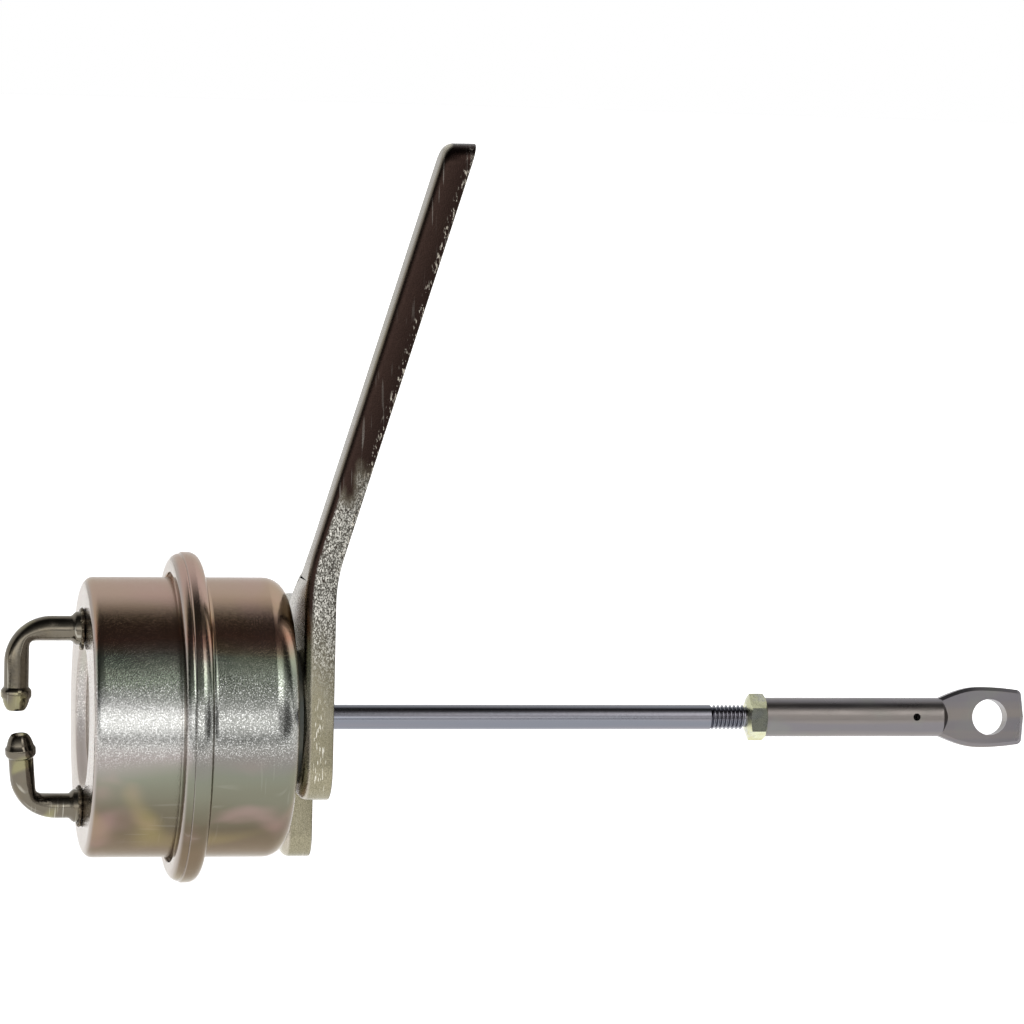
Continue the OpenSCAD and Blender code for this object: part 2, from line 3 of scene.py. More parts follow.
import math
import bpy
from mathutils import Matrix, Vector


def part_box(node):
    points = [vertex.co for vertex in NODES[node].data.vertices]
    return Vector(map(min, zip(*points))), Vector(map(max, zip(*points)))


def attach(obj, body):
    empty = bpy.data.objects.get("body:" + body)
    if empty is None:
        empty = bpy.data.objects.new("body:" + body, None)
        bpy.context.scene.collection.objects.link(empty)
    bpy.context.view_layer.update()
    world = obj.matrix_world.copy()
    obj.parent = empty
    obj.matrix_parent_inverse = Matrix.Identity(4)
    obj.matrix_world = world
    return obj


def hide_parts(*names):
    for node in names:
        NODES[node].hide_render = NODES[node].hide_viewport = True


bl_info = {
    "name": "Wastegate Actuator Finish",
    "version": (1, 0, 0),
    "blender": (4, 5, 0),
    "location": "View3D > Sidebar > Actuator",
    "description": "Dresses the solid frame of a wastegate actuator with its finishes and fine shapes",
    "category": "Object",
}

import bmesh
import bpy
from mathutils import Matrix, Vector

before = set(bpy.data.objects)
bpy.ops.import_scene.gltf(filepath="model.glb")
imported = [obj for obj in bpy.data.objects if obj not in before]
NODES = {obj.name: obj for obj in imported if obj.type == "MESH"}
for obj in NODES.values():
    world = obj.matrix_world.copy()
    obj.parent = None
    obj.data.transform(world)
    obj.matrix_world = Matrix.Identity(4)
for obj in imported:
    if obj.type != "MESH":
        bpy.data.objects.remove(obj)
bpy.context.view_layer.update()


def tone(code):
    """Linear colour of a screen colour written as six hexadecimal digits."""
    parts = [int(code[i : i + 2], 16) / 255 for i in (0, 2, 4)]
    return tuple(c / 12.92 if c <= 0.04045 else ((c + 0.055) / 1.055) ** 2.4 for c in parts)


def rgba(colour):
    return (*colour[:3], 1.0)


def size(name, text, default, low=0.0, high=1.0):
    return bpy.props.FloatProperty(
        name=name, description=text, default=default, min=low, max=high,
        precision=5, subtype="DISTANCE", unit="LENGTH",
    )


def angle(name, text, degrees):
    return bpy.props.FloatProperty(
        name=name, description=text, default=math.radians(degrees), subtype="ANGLE", unit="ROTATION"
    )


def shade(name, text, code):
    return bpy.props.FloatVectorProperty(
        name=name, description=text, default=tone(code), size=3, min=0.0, max=1.0, subtype="COLOR"
    )


# Brightness of the room by angle, from straight down in front (-90) over the
# camera's side (0) and overhead (90) to behind the object (180)
ROOM_TOP = 3.0
ROOM_LEFT = (
    (-180, 1.0), (-17, 1.0), (-14, 0.45), (-9, 0.7), (-4, 1.7), (1, 2.4), (6, 2.5), (11, 2.05), (16, 1.15),
    (21, 0.65), (26, 0.42), (31, 0.3), (42, 0.19), (52, 0.1), (63, 0.05), (75, 0.035), (88, 0.03),
    (95, 0.04), (101, 0.12), (108, 0.35), (116, 0.65), (128, 0.9), (150, 0.95), (180, 1.0),
)
ROOM_RIGHT = (
    (-180, 1.0), (-14, 1.0), (-8, 0.75), (12, 0.7), (19, 1.1), (25, 3.0), (42, 3.0), (50, 1.3), (60, 0.5),
    (70, 0.12), (88, 0.06), (96, 0.3), (105, 0.85), (125, 1.05), (180, 1.0),
)
# Dark gaps between the lights, from the left end (-1) to the right end (1)
ROOM_GAPS = (
    (-1.0, 0.9), (-0.93, 0.6), (-0.87, 0.5), (-0.78, 0.95), (-0.25, 1.0), (0.5, 1.0), (0.62, 0.3),
    (0.9, 0.25), (1.0, 0.8),
)


# Places of the bracket's bolt holes, across and up
BOLT_HOLES = ((0.030, 0.017), (0.030, -0.027))


# ---- Settings ----


class ActuatorSizes(bpy.types.PropertyGroup):
    """Sizes of the fine shapes, all in metres in the frame of the solids."""

    thread_start: size("Thread start", "Distance from the bracket's front to the thread", 0.0951)
    thread_root: size("Thread root", "Root radius of the thread", 0.0024)
    thread_crest: size("Thread crest", "Crest radius of the thread", 0.00296)
    thread_pitch: size("Thread pitch", "Travel of one turn of the thread", 0.001)
    roll_edge: size("Rolled edge", "Radius of the bracket's rolled back edge", 0.0021)
    cut_edge: size("Cut edge", "Radius of the bracket's front edge", 0.0004)
    plate: size("Plate", "Thickness of the bracket plate", 0.0073)
    bend_start: size("Bend start", "Height at which the leg's bend starts", 0.0295)
    bend_radius: size("Bend radius", "Inside radius of the leg's bend", 0.0365)
    leg_lean: angle("Leg lean", "Angle of the leg from the plate", 16.9)
    can_radius: size("Can", "Outside radius of both cans", 0.0336)
    can_wall: size("Can wall", "Sheet thickness of the cans", 0.0012)
    curl_edge: size("Curl edge", "Corner radius of the rolled curl", 0.0027)
    curl_groove: size("Curl groove", "Depth of the line that the rolling tool leaves on the curl", 0.00035)
    shoulder: size("Shoulder", "Corner radius of the base can", 0.0056)
    rim: size("Rim", "Corner radius of the cover can", 0.0024)
    front_face: size("Front face", "Distance from the bracket's front back to the base can's face", 0.0100)
    curl_front: size("Curl front", "Distance from the bracket's front back to the curl", 0.0310)
    pad_radius: size("Pad", "Radius of the raised pad that meets the bracket", 0.0165)
    dish_radius: size("Dish", "Radius of the dished recess in the cover", 0.0170)
    dish_depth: size("Dish depth", "Depth of the dished recess", 0.0022)
    port_offset: size("Port offset", "Distance of each port from the rod axis", 0.0214)
    upper_run: size("Upper run", "Straight stretch between the cover and the upper elbow", 0.0076)
    lower_run: size("Lower run", "Straight stretch between the cover and the lower elbow", 0.0060)
    elbow_out: size("Elbow", "Radius of the elbow along its outer side", 0.0113)
    tube_radius: size("Tube", "Outside radius of the port tubes", 0.0030)
    tube_bore: size("Bore", "Inside radius of the port tubes", 0.0019)
    barb_radius: size("Barb", "Radius of the hose barb", 0.0037)
    collar_radius: size("Collar", "Radius of the port's root collar", 0.0040)
    upper_leg: size("Upper leg", "Length of the upper port below its elbow", 0.0114)
    lower_leg: size("Lower leg", "Length of the lower port above its elbow", 0.0101)
    lower_bend: angle("Lower bend", "Bend of the lower elbow", 85.0)
    lower_turn: angle("Lower turn", "Turn of the lower port about its root", 8.0)


class ActuatorColours(bpy.types.PropertyGroup):
    """Colours of the finishes."""

    plating_top: shade("Plating top", "Pink tan along the canister's top", "ad9788")
    plating_tan: shade("Plating tan", "Warm tan of the canister's shoulder", "a89078")
    plating_rust: shade("Plating rust", "Reddish band of the canister's plating", "b78a74")
    plating_green: shade("Plating green", "Green grey of the canister's flank", "9ca594")
    # Painted highlight: the silver stop lies where the highlight falls on the canister, so that the highlight renders
    # white.
    plating_highlight_silver: shade("Plating silver", "Neutral tone at the canister's middle", "aaaaa7")
    plating_dim: shade("Plating dim", "Grey at the edge of the bright middle", "918a87")
    plating_olive: shade("Plating olive", "Olive below the canister's middle", "76786a")
    # Painted shade: the umber and hem stops darken the canister's underside and bottom.
    plating_underside_shade: shade("Plating umber", "Green brown of the canister's underside", "5e5647")
    plating_hem_shade: shade("Plating hem", "Warm brown along the canister's bottom", "6c5e4d")
    plating_rose: shade("Plating rose", "Pink tint in the passivated zinc", "b38f90")
    plating_gold: shade("Plating gold", "Yellow tint in the passivated zinc", "a79a5c")
    plating_face: shade("Plating face", "Pale tone of the canister's end face", "a49c98")
    nickel: shade("Nickel", "Plated steel of the ports", "686257")
    braze: shade("Braze", "Crusted braze at the port roots", "6d6250")
    plate_pale: shade("Plate", "Pale tone of the bracket's faces", "aaa595")
    plate_edge: shade("Plate edge", "Sheared edge of the bracket's plate", "8f8974")
    plate_torn: shade("Torn edge", "Speckled edge at the foot of the leg", "6c6b64")
    # Painted shade: this dark brown stands for the shade on the leg's edge and its rounded near edges.
    leg_painted_shade: shade("Leg edge", "Burnished edge of the bracket's leg", "2c211d")
    rod_zinc: shade("Rod", "Clear zinc on the rod", "74777f")
    nut_straw: shade("Nut", "Straw tone of the lock nut", "c4c5a4")
    rod_end: shade("Rod end", "Satin steel of the sleeve", "737073")
    eye: shade("Eye", "Forged flat of the eye", "b3aeb3")
    steel: shade("Inner steel", "Plain steel inside the canister", "8e9094")
    spring: shade("Spring", "Oiled spring steel", "4d5056")
    bronze: shade("Bronze", "Sintered bronze of the guide bush", "a5733f")
    rubber: shade("Rubber", "Rubber of the seal and the diaphragm", "1b1b1c")
    cloth: shade("Diaphragm cloth", "Fabric in the diaphragm's rubber", "3a2c24")
    fibre: shade("Gasket", "Pressed fibre of the gasket", "4a4d48")
    floor: shade("Floor", "Plain pale floor", "f4f4f4")


class ActuatorStudio(bpy.types.PropertyGroup):
    """Place of the camera and strength of the light."""

    yaw: angle("Yaw", "Turn of the view from square on to the rod", 9.8)
    elevation: angle("Elevation", "How far the camera looks down", 6.0)
    roll: angle("Roll", "Roll of the camera", 0.37)
    focal: bpy.props.FloatProperty(
        name="Focal length", description="Focal length in pixels of the picture", default=5500.0, min=500.0
    )
    scale: bpy.props.FloatProperty(
        name="Scale", description="Pixels for one millimetre at the rod axis", default=4.15, min=0.1
    )
    centre_x: bpy.props.FloatProperty(
        name="Centre across", description="Pixel column of the bracket's front on the rod axis", default=325.1
    )
    centre_y: bpy.props.FloatProperty(
        name="Centre down", description="Pixel row of the bracket's front on the rod axis", default=717.0
    )
    floor_drop: size("Floor drop", "Distance of the floor under the rod axis", 0.2)
    world_level: bpy.props.FloatProperty(
        name="Room level", description="Brightness of the room", default=1.0, min=0.0
    )
    floor_glow: bpy.props.FloatProperty(
        name="Floor glow", description="How much the floor glows, like a lit table", default=0.8, min=0.0
    )
    key_power: bpy.props.FloatProperty(
        name="Key lamp", description="Power of the key lamp", default=5.6, min=0.0, unit="POWER"
    )


def sizes():
    return bpy.context.scene.actuator_sizes


def colours():
    return bpy.context.scene.actuator_colours


# ---- Node helpers ----


class Wires:
    """Adds nodes to a tree and joins them."""

    def __init__(self, tree):
        self.tree = tree

    def add(self, kind, inputs=None, **settings):
        node = self.tree.nodes.new(kind)
        for key, value in settings.items():
            setattr(node, key, value)
        for key, value in (inputs or {}).items():
            socket = node.inputs[key]
            if isinstance(value, bpy.types.NodeSocket):
                self.tree.links.new(value, socket)
            else:
                socket.default_value = value
        return node

    def math(self, operation, a, b=0.0, c=0.0):
        node = self.add("ShaderNodeMath", {0: a, 1: b, 2: c}, operation=operation)
        return node.outputs[0]

    def mix(self, factor, a, b, blend="MIX"):
        node = self.add("ShaderNodeMix", data_type="RGBA", blend_type=blend)
        for index, value in ((0, factor), (6, a), (7, b)):
            if isinstance(value, bpy.types.NodeSocket):
                self.tree.links.new(value, node.inputs[index])
            else:
                node.inputs[index].default_value = value
        return node.outputs[2]

    def fade(self, value, low, high, out_low=0.0, out_high=1.0, linear=False):
        node = self.add(
            "ShaderNodeMapRange",
            {"Value": value, "From Min": low, "From Max": high, "To Min": out_low, "To Max": out_high},
            interpolation_type="LINEAR" if linear else "SMOOTHSTEP",
        )
        return node.outputs[0]

    def ramp(self, value, stops):
        """Colour ramp through (place, colour) stops that stand in order."""
        node = self.add("ShaderNodeValToRGB", {"Fac": value})
        band = node.color_ramp.elements
        band[0].position, band[1].position = stops[0][0], stops[-1][0]
        band[0].color, band[1].color = rgba(stops[0][1]), rgba(stops[-1][1])
        for place, colour in stops[1:-1]:
            band.new(place).color = rgba(colour)
        return node.outputs[0]

    def split(self, vector):
        return self.add("ShaderNodeSeparateXYZ", {0: vector}).outputs

    def place(self, turn=(0, 0, 0), scale=(1, 1, 1), move=(0, 0, 0)):
        coords = self.add("ShaderNodeTexCoord")
        node = self.add(
            "ShaderNodeMapping",
            {"Vector": coords.outputs["Object"], "Rotation": turn, "Scale": scale, "Location": move},
        )
        return node.outputs[0]

    def noise(self, vector, scale, detail=2.0, roughness=0.5, distortion=0.0):
        node = self.add(
            "ShaderNodeTexNoise",
            {"Vector": vector, "Scale": scale, "Detail": detail, "Roughness": roughness, "Distortion": distortion},
        )
        return node.outputs["Fac"]


def new_group(name, inputs, outputs):
    """Empty shader group with its named sockets, as wires, its given values and its result's sockets."""
    tree = bpy.data.node_groups.new(name, "ShaderNodeTree")
    for label, kind, value in inputs:
        socket = tree.interface.new_socket(label, in_out="INPUT", socket_type=kind)
        if value is not None:
            socket.default_value = value
    for label, kind in outputs:
        tree.interface.new_socket(label, in_out="OUTPUT", socket_type=kind)
    wires = Wires(tree)
    return wires, tree.nodes.new("NodeGroupInput").outputs, tree.nodes.new("NodeGroupOutput").inputs


def grain_group():
    """Fine pebbled surface with a slower wave under it."""
    name = "Pebbled grain"
    if name in bpy.data.node_groups:
        return bpy.data.node_groups[name]
    wires, given, result = new_group(
        name,
        [("Grain", "NodeSocketFloat", 1800.0), ("Wave", "NodeSocketFloat", 60.0), ("Wave Share", "NodeSocketFloat", 0.4)],
        [("Height", "NodeSocketFloat"), ("Speckle", "NodeSocketFloat")],
    )
    spot = wires.place()
    fine = wires.noise(spot, given["Grain"], 1.0, 0.6)
    slow = wires.noise(spot, given["Wave"], 1.0, 0.5)
    share = wires.math("MULTIPLY", slow, given["Wave Share"])
    wires.tree.links.new(wires.math("ADD", fine, share), result["Height"])
    wires.tree.links.new(wires.fade(fine, 0.56, 0.72), result["Speckle"])
    return wires.tree


def scratch_group():
    """Thin light scratches in two directions."""
    name = "Fine scratches"
    if name in bpy.data.node_groups:
        return bpy.data.node_groups[name]
    wires, given, result = new_group(
        name,
        [("Size", "NodeSocketFloat", 1.0), ("Amount", "NodeSocketFloat", 0.5)],
        [("Mask", "NodeSocketFloat")],
    )
    total = None
    for turn, stretch in (((0.3, 0.2, 0.25), (1900, 90, 90)), ((0.1, 0.5, -0.5), (80, 1500, 90))):
        spot = wires.place(turn=turn, scale=stretch)
        lines = wires.noise(spot, given["Size"], 0.0)
        patches = wires.noise(wires.place(move=(turn[1], 0, turn[0])), 55.0, 1.0)
        thin = wires.math("MULTIPLY", wires.fade(lines, 0.68, 0.76), wires.fade(patches, 0.5, 0.62))
        total = thin if total is None else wires.math("MAXIMUM", total, thin)
    wires.tree.links.new(wires.math("MULTIPLY", total, given["Amount"]), result["Mask"])
    return wires.tree


def tint_group():
    """Three tints that drift over a plated surface."""
    name = "Drifting tints"
    if name in bpy.data.node_groups:
        return bpy.data.node_groups[name]
    wires, given, result = new_group(
        name,
        [
            ("Main", "NodeSocketColor", (0.4, 0.4, 0.4, 1)),
            ("First", "NodeSocketColor", (0.4, 0.3, 0.3, 1)),
            ("Second", "NodeSocketColor", (0.4, 0.4, 0.2, 1)),
            ("Patch", "NodeSocketFloat", 30.0),
            ("Amount", "NodeSocketFloat", 0.6),
        ],
        [("Color", "NodeSocketColor")],
    )
    spot = wires.place(scale=(1.0, 1.0, 1.6))
    first = wires.fade(wires.noise(spot, given["Patch"], 2.0, 0.5, 0.4), 0.46, 0.68)
    second = wires.fade(wires.noise(wires.place(move=(0.31, 0.17, 0.23)), given["Patch"], 1.0, 0.5, 0.6), 0.5, 0.72)
    colour = wires.mix(wires.math("MULTIPLY", first, given["Amount"]), given["Main"], given["First"])
    colour = wires.mix(wires.math("MULTIPLY", second, given["Amount"]), colour, given["Second"])
    wires.tree.links.new(colour, result["Color"])
    return wires.tree


def use_group(wires, tree, **values):
    node = wires.add("ShaderNodeGroup")
    node.node_tree = tree
    for key, value in values.items():
        socket = node.inputs[key.replace("_", " ")]
        if isinstance(value, bpy.types.NodeSocket):
            wires.tree.links.new(value, socket)
        else:
            socket.default_value = value
    return node.outputs


def start_material(name, metallic, roughness, **constants):
    """Material with one Principled shader, whose constants stand on its own sockets."""
    material = bpy.data.materials.new(name)
    material.use_nodes = True
    wires = Wires(material.node_tree)
    shader = material.node_tree.nodes["Principled BSDF"]
    shader.inputs["Metallic"].default_value = metallic
    shader.inputs["Roughness"].default_value = roughness
    for key, value in constants.items():
        shader.inputs[key.replace("_", " ")].default_value = value
    return material, wires, shader.inputs


def bump(wires, inputs, height, distance, strength=1.0, normal=None):
    values = {"Height": height, "Distance": distance, "Strength": strength}
    if normal is not None:
        values["Normal"] = normal
    node = wires.add("ShaderNodeBump", values)
    wires.tree.links.new(node.outputs[0], inputs["Normal"])
    return node.outputs[0]


# ---- Finishes ----


def plating(name):
    """Passivated zinc of the canister, whose tint drifts in bands from top to bottom. The bands also hold painted
    light: a silver band where the highlight falls, darker browns at the bottom and a darker middle on the base can as
    painted shade, and painted glints and dark specks in the highlight.
    """
    hue = colours()
    material, wires, shader = start_material(name, 1.0, 0.1, Specular_Tint=(0.75, 0.72, 0.68, 1.0))
    link = wires.tree.links.new
    coords = wires.add("ShaderNodeTexCoord")
    spot, normal = wires.split(coords.outputs["Object"]), wires.split(coords.outputs["Normal"])
    streaks = wires.noise(wires.place(scale=(10, 60, 60)), 1.0, 2.0)
    height = wires.math("ADD", spot[2], wires.math("MULTIPLY", wires.math("SUBTRACT", streaks, 0.5), 0.012))
    # Tints by height: the plating's own tints, with a painted highlight in the silver stop and painted shade in the
    # darker umber and hem stops at the bottom.
    bands = wires.ramp(
        wires.fade(height, -0.036, 0.036, linear=True),
        (
            (0.0, hue.plating_hem_shade), (0.1, hue.plating_hem_shade), (0.2, hue.plating_underside_shade),
            (0.34, hue.plating_olive), (0.41, hue.plating_dim), (0.48, hue.plating_highlight_silver),
            (0.58, hue.plating_highlight_silver), (0.66, hue.plating_green), (0.74, hue.plating_green),
            (0.81, hue.plating_rust), (0.88, hue.plating_tan), (0.95, hue.plating_top),
        ),
    )
    tinted = use_group(
        wires, tint_group(), Main=bands, First=rgba(hue.plating_rose), Second=rgba(hue.plating_gold),
        Patch=42.0, Amount=0.3,
    )["Color"]
    calm = wires.fade(wires.math("ABSOLUTE", wires.math("ADD", height, -0.004)), 0.008, 0.016)
    side = wires.mix(calm, bands, tinted)
    face = wires.fade(wires.math("MULTIPLY", normal[0], -1.0), 0.6, 0.95)
    colour = wires.mix(face, side, rgba(hue.plating_face))
    # Painted shade: the base can's middle is darkened towards 5c5e58.
    front_can = wires.fade(spot[0], -0.0372, -0.0355)
    middle = wires.fade(wires.math("ABSOLUTE", wires.math("ADD", height, -0.002)), 0.017, 0.009)
    painted_shade_middle = wires.math("MULTIPLY", front_can, wires.math("MULTIPLY", middle, 0.55))
    colour = wires.mix(painted_shade_middle, colour, rgba(tone("5c5e58")))
    # Painted glints: pale and dark specks on the band where the highlight falls.
    painted_glint_noise = wires.noise(wires.place(), 2900.0, 2.0, 0.65)
    bright = wires.fade(wires.math("ABSOLUTE", wires.math("ADD", height, -0.003)), 0.0125, 0.006)
    for low, high, amount, paint in ((0.54, 0.62, 0.55, "f0f0ee"), (0.46, 0.38, 0.4, "5f615c")):
        painted_speck = wires.math("MULTIPLY", wires.math("MULTIPLY", bright, amount), wires.fade(painted_glint_noise, low, high))
        colour = wires.mix(painted_speck, colour, rgba(tone(paint)))
    marks = use_group(wires, scratch_group(), Size=1.0, Amount=0.05)["Mask"]
    colour = wires.mix(marks, colour, rgba(tone("d4d0c8")))
    link(colour, shader["Base Color"])
    smudge = wires.noise(wires.place(), 70.0, 3.0)
    link(wires.fade(smudge, 0.3, 0.7, 0.09, 0.15), shader["Roughness"])
    grain = use_group(wires, grain_group(), Grain=4600.0, Wave=120.0, Wave_Share=0.3)
    relief = wires.math("ADD", grain["Height"], wires.math("MULTIPLY", grain["Speckle"], 0.5))
    bump(wires, shader, relief, 0.000013)
    return material


def nickel():
    hue = colours()
    material, wires, shader = start_material("port nickel", 1.0, 0.16)
    link = wires.tree.links.new
    colour = use_group(
        wires, tint_group(), Main=rgba(hue.nickel), First=rgba(tone("6c6455")),
        Second=rgba(tone("8e8a66")), Patch=140.0, Amount=0.7,
    )["Color"]
    marks = use_group(wires, scratch_group(), Size=1.4, Amount=0.4)["Mask"]
    link(wires.mix(marks, colour, rgba(tone("c9c6ba"))), shader["Base Color"])
    smudge = wires.noise(wires.place(), 260.0, 3.0)
    link(wires.fade(smudge, 0.3, 0.7, 0.11, 0.26), shader["Roughness"])
    grain = use_group(wires, grain_group(), Grain=1500.0, Wave=260.0, Wave_Share=2.0)
    bump(wires, shader, grain["Height"], 0.000016)
    return material


def braze_crust():
    hue = colours()
    material, wires, shader = start_material("braze crust", 0.85, 0.45)
    link = wires.tree.links.new
    blotch = wires.fade(wires.noise(wires.place(), 900.0, 3.0, 0.6), 0.4, 0.62)
    colour = wires.mix(blotch, rgba(tone("3d352b")), rgba(hue.braze))
    flecks = wires.fade(wires.noise(wires.place(move=(0.2, 0.4, 0.1)), 1700.0, 1.0), 0.62, 0.7)
    link(wires.mix(flecks, colour, rgba(tone("a59c86"))), shader["Base Color"])
    link(wires.fade(blotch, 0.0, 1.0, 0.55, 0.3), shader["Roughness"])
    bump(wires, shader, wires.noise(wires.place(), 1500.0, 3.0, 0.7), 0.00022)
    return material


def bracket_steel():
    """Plated faces and a sheared pale edge on the plate, with painted light: the leg's edge and its rounded near
    edges darkened as painted shade, a painted shadow on the back face above the rod, a painted dark line at the cut
    edge's front corner, and painted glints and a painted highlight line on the cut edge.
    """
    hue = colours()
    material, wires, shader = start_material("bracket steel", 1.0, 0.25)
    link = wires.tree.links.new
    coords = wires.add("ShaderNodeTexCoord")
    spot = wires.add("ShaderNodeSeparateXYZ", {0: coords.outputs["Object"]}).outputs
    facing = wires.add("ShaderNodeSeparateXYZ", {0: coords.outputs["Normal"]}).outputs
    depth = wires.add("ShaderNodeAttribute", attribute_name="depth").outputs["Fac"]
    cut = wires.add("ShaderNodeAttribute", attribute_name="cut").outputs["Fac"]
    faces = use_group(
        wires, tint_group(), Main=rgba(hue.plate_pale), First=rgba(tone("a3988f")),
        Second=rgba(tone("a39c78")), Patch=30.0, Amount=0.6,
    )["Color"]
    rough_line = wires.noise(wires.place(scale=(1, 1, 0.4)), 140.0, 3.0)
    height = wires.math("ADD", spot[2], wires.math("MULTIPLY", wires.math("SUBTRACT", rough_line, 0.5), 0.03))
    leg = wires.fade(height, 0.05, 0.06)
    fine = wires.noise(wires.place(scale=(1, 1, 0.6)), 3600.0, 2.0, 0.6)
    torn = wires.math("MULTIPLY", wires.fade(height, -0.004, 0.03), wires.fade(height, 0.06, 0.052))
    # Speckles of the torn band: the dark specks take the leg's painted shade and the pale specks are painted glints.
    grey = wires.ramp(fine, ((0.3, hue.leg_painted_shade), (0.5, hue.plate_torn), (0.64, tone("d6d3cb"))))
    plain = wires.mix(wires.fade(fine, 0.4, 0.62), rgba(hue.plate_edge), rgba(tone("7d7864")))
    # Painted shade: up the leg the cut edge turns to the leg's dark brown.
    edge = wires.mix(leg, wires.mix(torn, plain, grey), rgba(hue.leg_painted_shade))
    diagonal = wires.place(turn=(0, math.radians(24), 0), scale=(5.0, 0.6, 0.8))
    strokes = wires.fade(wires.noise(diagonal, 620.0, 1.0, 0.4), 0.58, 0.68, 0.0, 0.8)
    reach = wires.math("MULTIPLY", wires.fade(spot[2], 0.012, 0.0), wires.fade(spot[2], -0.019, -0.012))
    inside = wires.math("MULTIPLY", wires.fade(depth, 0.3, 0.4), wires.fade(depth, 0.8, 0.7))
    strokes = wires.math("MULTIPLY", strokes, wires.math("MULTIPLY", reach, inside))
    edge = wires.mix(strokes, edge, rgba(tone("e2ded2")))
    # Painted highlight: a speckled pale line along the front of the cut edge up the leg; the same mask also raises
    # the bump.
    edge_glint_noise = wires.noise(wires.place(scale=(1, 1, 0.35)), 1800.0, 2.0, 0.7)
    edge_glint_band = wires.math("MULTIPLY", wires.fade(depth, 0.72, 0.9), wires.fade(spot[2], 0.03, 0.05))
    rim = wires.math("MULTIPLY", edge_glint_band, wires.fade(edge_glint_noise, 0.56, 0.64))
    edge = wires.mix(wires.math("MULTIPLY", rim, 0.75), edge, rgba(tone("cfc7b8")))
    # Painted shade: a thin dark line just before the cut edge's front corner.
    edge = wires.mix(wires.fade(depth, 0.965, 0.985), edge, rgba(tone("4a443a")))
    # Painted shade: the rounded edges that face the front are darkened up the leg.
    near_side = wires.fade(wires.math("MULTIPLY", facing[1], -1.0), 0.25, 0.75)
    near_painted_shade = wires.math("MULTIPLY", wires.fade(height, 0.004, 0.03), near_side)
    faces = wires.mix(near_painted_shade, faces, rgba(hue.leg_painted_shade))
    rear = wires.fade(wires.math("MULTIPLY", facing[0], -1.0), 0.5, 0.9)
    shaded = wires.math("MULTIPLY", rear, wires.fade(spot[2], 0.0, 0.012))
    faces = wires.mix(wires.math("MULTIPLY", shaded, 0.6), faces, rgba(tone("55493f")))
    colour = wires.mix(wires.math("ABSOLUTE", cut), faces, edge)
    marks = use_group(wires, scratch_group(), Size=1.0, Amount=0.12)["Mask"]
    link(wires.mix(marks, colour, rgba(tone("d8d4ca"))), shader["Base Color"])
    link(wires.fade(fine, 0.3, 0.7, 0.2, 0.32), shader["Roughness"])
    relief = wires.math("ADD", fine, wires.math("MULTIPLY", rim, 1.5))
    slow = wires.noise(wires.place(), 90.0, 1.0)
    relief = wires.math("ADD", relief, wires.math("MULTIPLY", slow, 2.0))
    bump(wires, shader, relief, 0.00003)
    return material


def bright_zinc():
    hue = colours()
    material, wires, shader = start_material("rod zinc", 1.0, 0.12)
    link = wires.tree.links.new
    streaks = wires.noise(wires.place(scale=(12, 420, 420)), 1.0, 2.0)
    colour = wires.mix(wires.fade(streaks, 0.35, 0.7), rgba(hue.rod_zinc), rgba(tone("7d7b81")))
    link(colour, shader["Base Color"])
    link(wires.fade(streaks, 0.3, 0.7, 0.1, 0.2), shader["Roughness"])
    grain = use_group(wires, grain_group(), Grain=1300.0, Wave=180.0, Wave_Share=1.0)
    bump(wires, shader, grain["Height"], 0.000006)
    return material


def nut_zinc():
    hue = colours()
    material, wires, shader = start_material("nut zinc", 1.0, 0.24)
    link = wires.tree.links.new
    colour = use_group(
        wires, tint_group(), Main=rgba(hue.nut_straw), First=rgba(tone("b5b6b0")),
        Second=rgba(tone("b9b683")), Patch=220.0, Amount=0.8,
    )["Color"]
    normal = wires.split(wires.add("ShaderNodeTexCoord").outputs["Normal"])
    # Painted shade: the flat that faces the front is darkened towards 50524f.
    flat = wires.fade(wires.math("MULTIPLY", normal[1], -1.0), 0.95, 0.985, 0.0, 0.9)
    colour = wires.mix(flat, colour, rgba(tone("50524f")))
    link(colour, shader["Base Color"])
    dents = wires.noise(wires.place(), 420.0, 2.0, 0.6)
    link(wires.fade(dents, 0.35, 0.7, 0.18, 0.34), shader["Roughness"])
    grain = use_group(wires, grain_group(), Grain=1900.0, Wave=420.0, Wave_Share=2.5)
    bump(wires, shader, grain["Height"], 0.00003)
    return material


def satin_steel():
    """Satin steel of the rod end, with faint brown and green bands along the sleeve."""
    hue = colours()
    material, wires, shader = start_material("rod end satin", 1.0, 0.3)
    link = wires.tree.links.new
    bands = wires.noise(wires.place(scale=(9, 260, 260)), 1.0, 2.0)
    colour = wires.mix(wires.fade(bands, 0.4, 0.65), rgba(hue.rod_end), rgba(tone("7d7773")))
    spot = wires.noise(wires.place(move=(0.3, 0.1, 0.2)), 90.0, 2.0)
    colour = wires.mix(wires.fade(spot, 0.52, 0.7, 0.0, 0.5), colour, rgba(tone("7a7c75")))
    link(colour, shader["Base Color"])
    link(wires.fade(spot, 0.3, 0.7, 0.27, 0.36), shader["Roughness"])
    grain = use_group(wires, grain_group(), Grain=1600.0, Wave=120.0, Wave_Share=1.4)
    bump(wires, shader, grain["Height"], 0.000014)
    return material


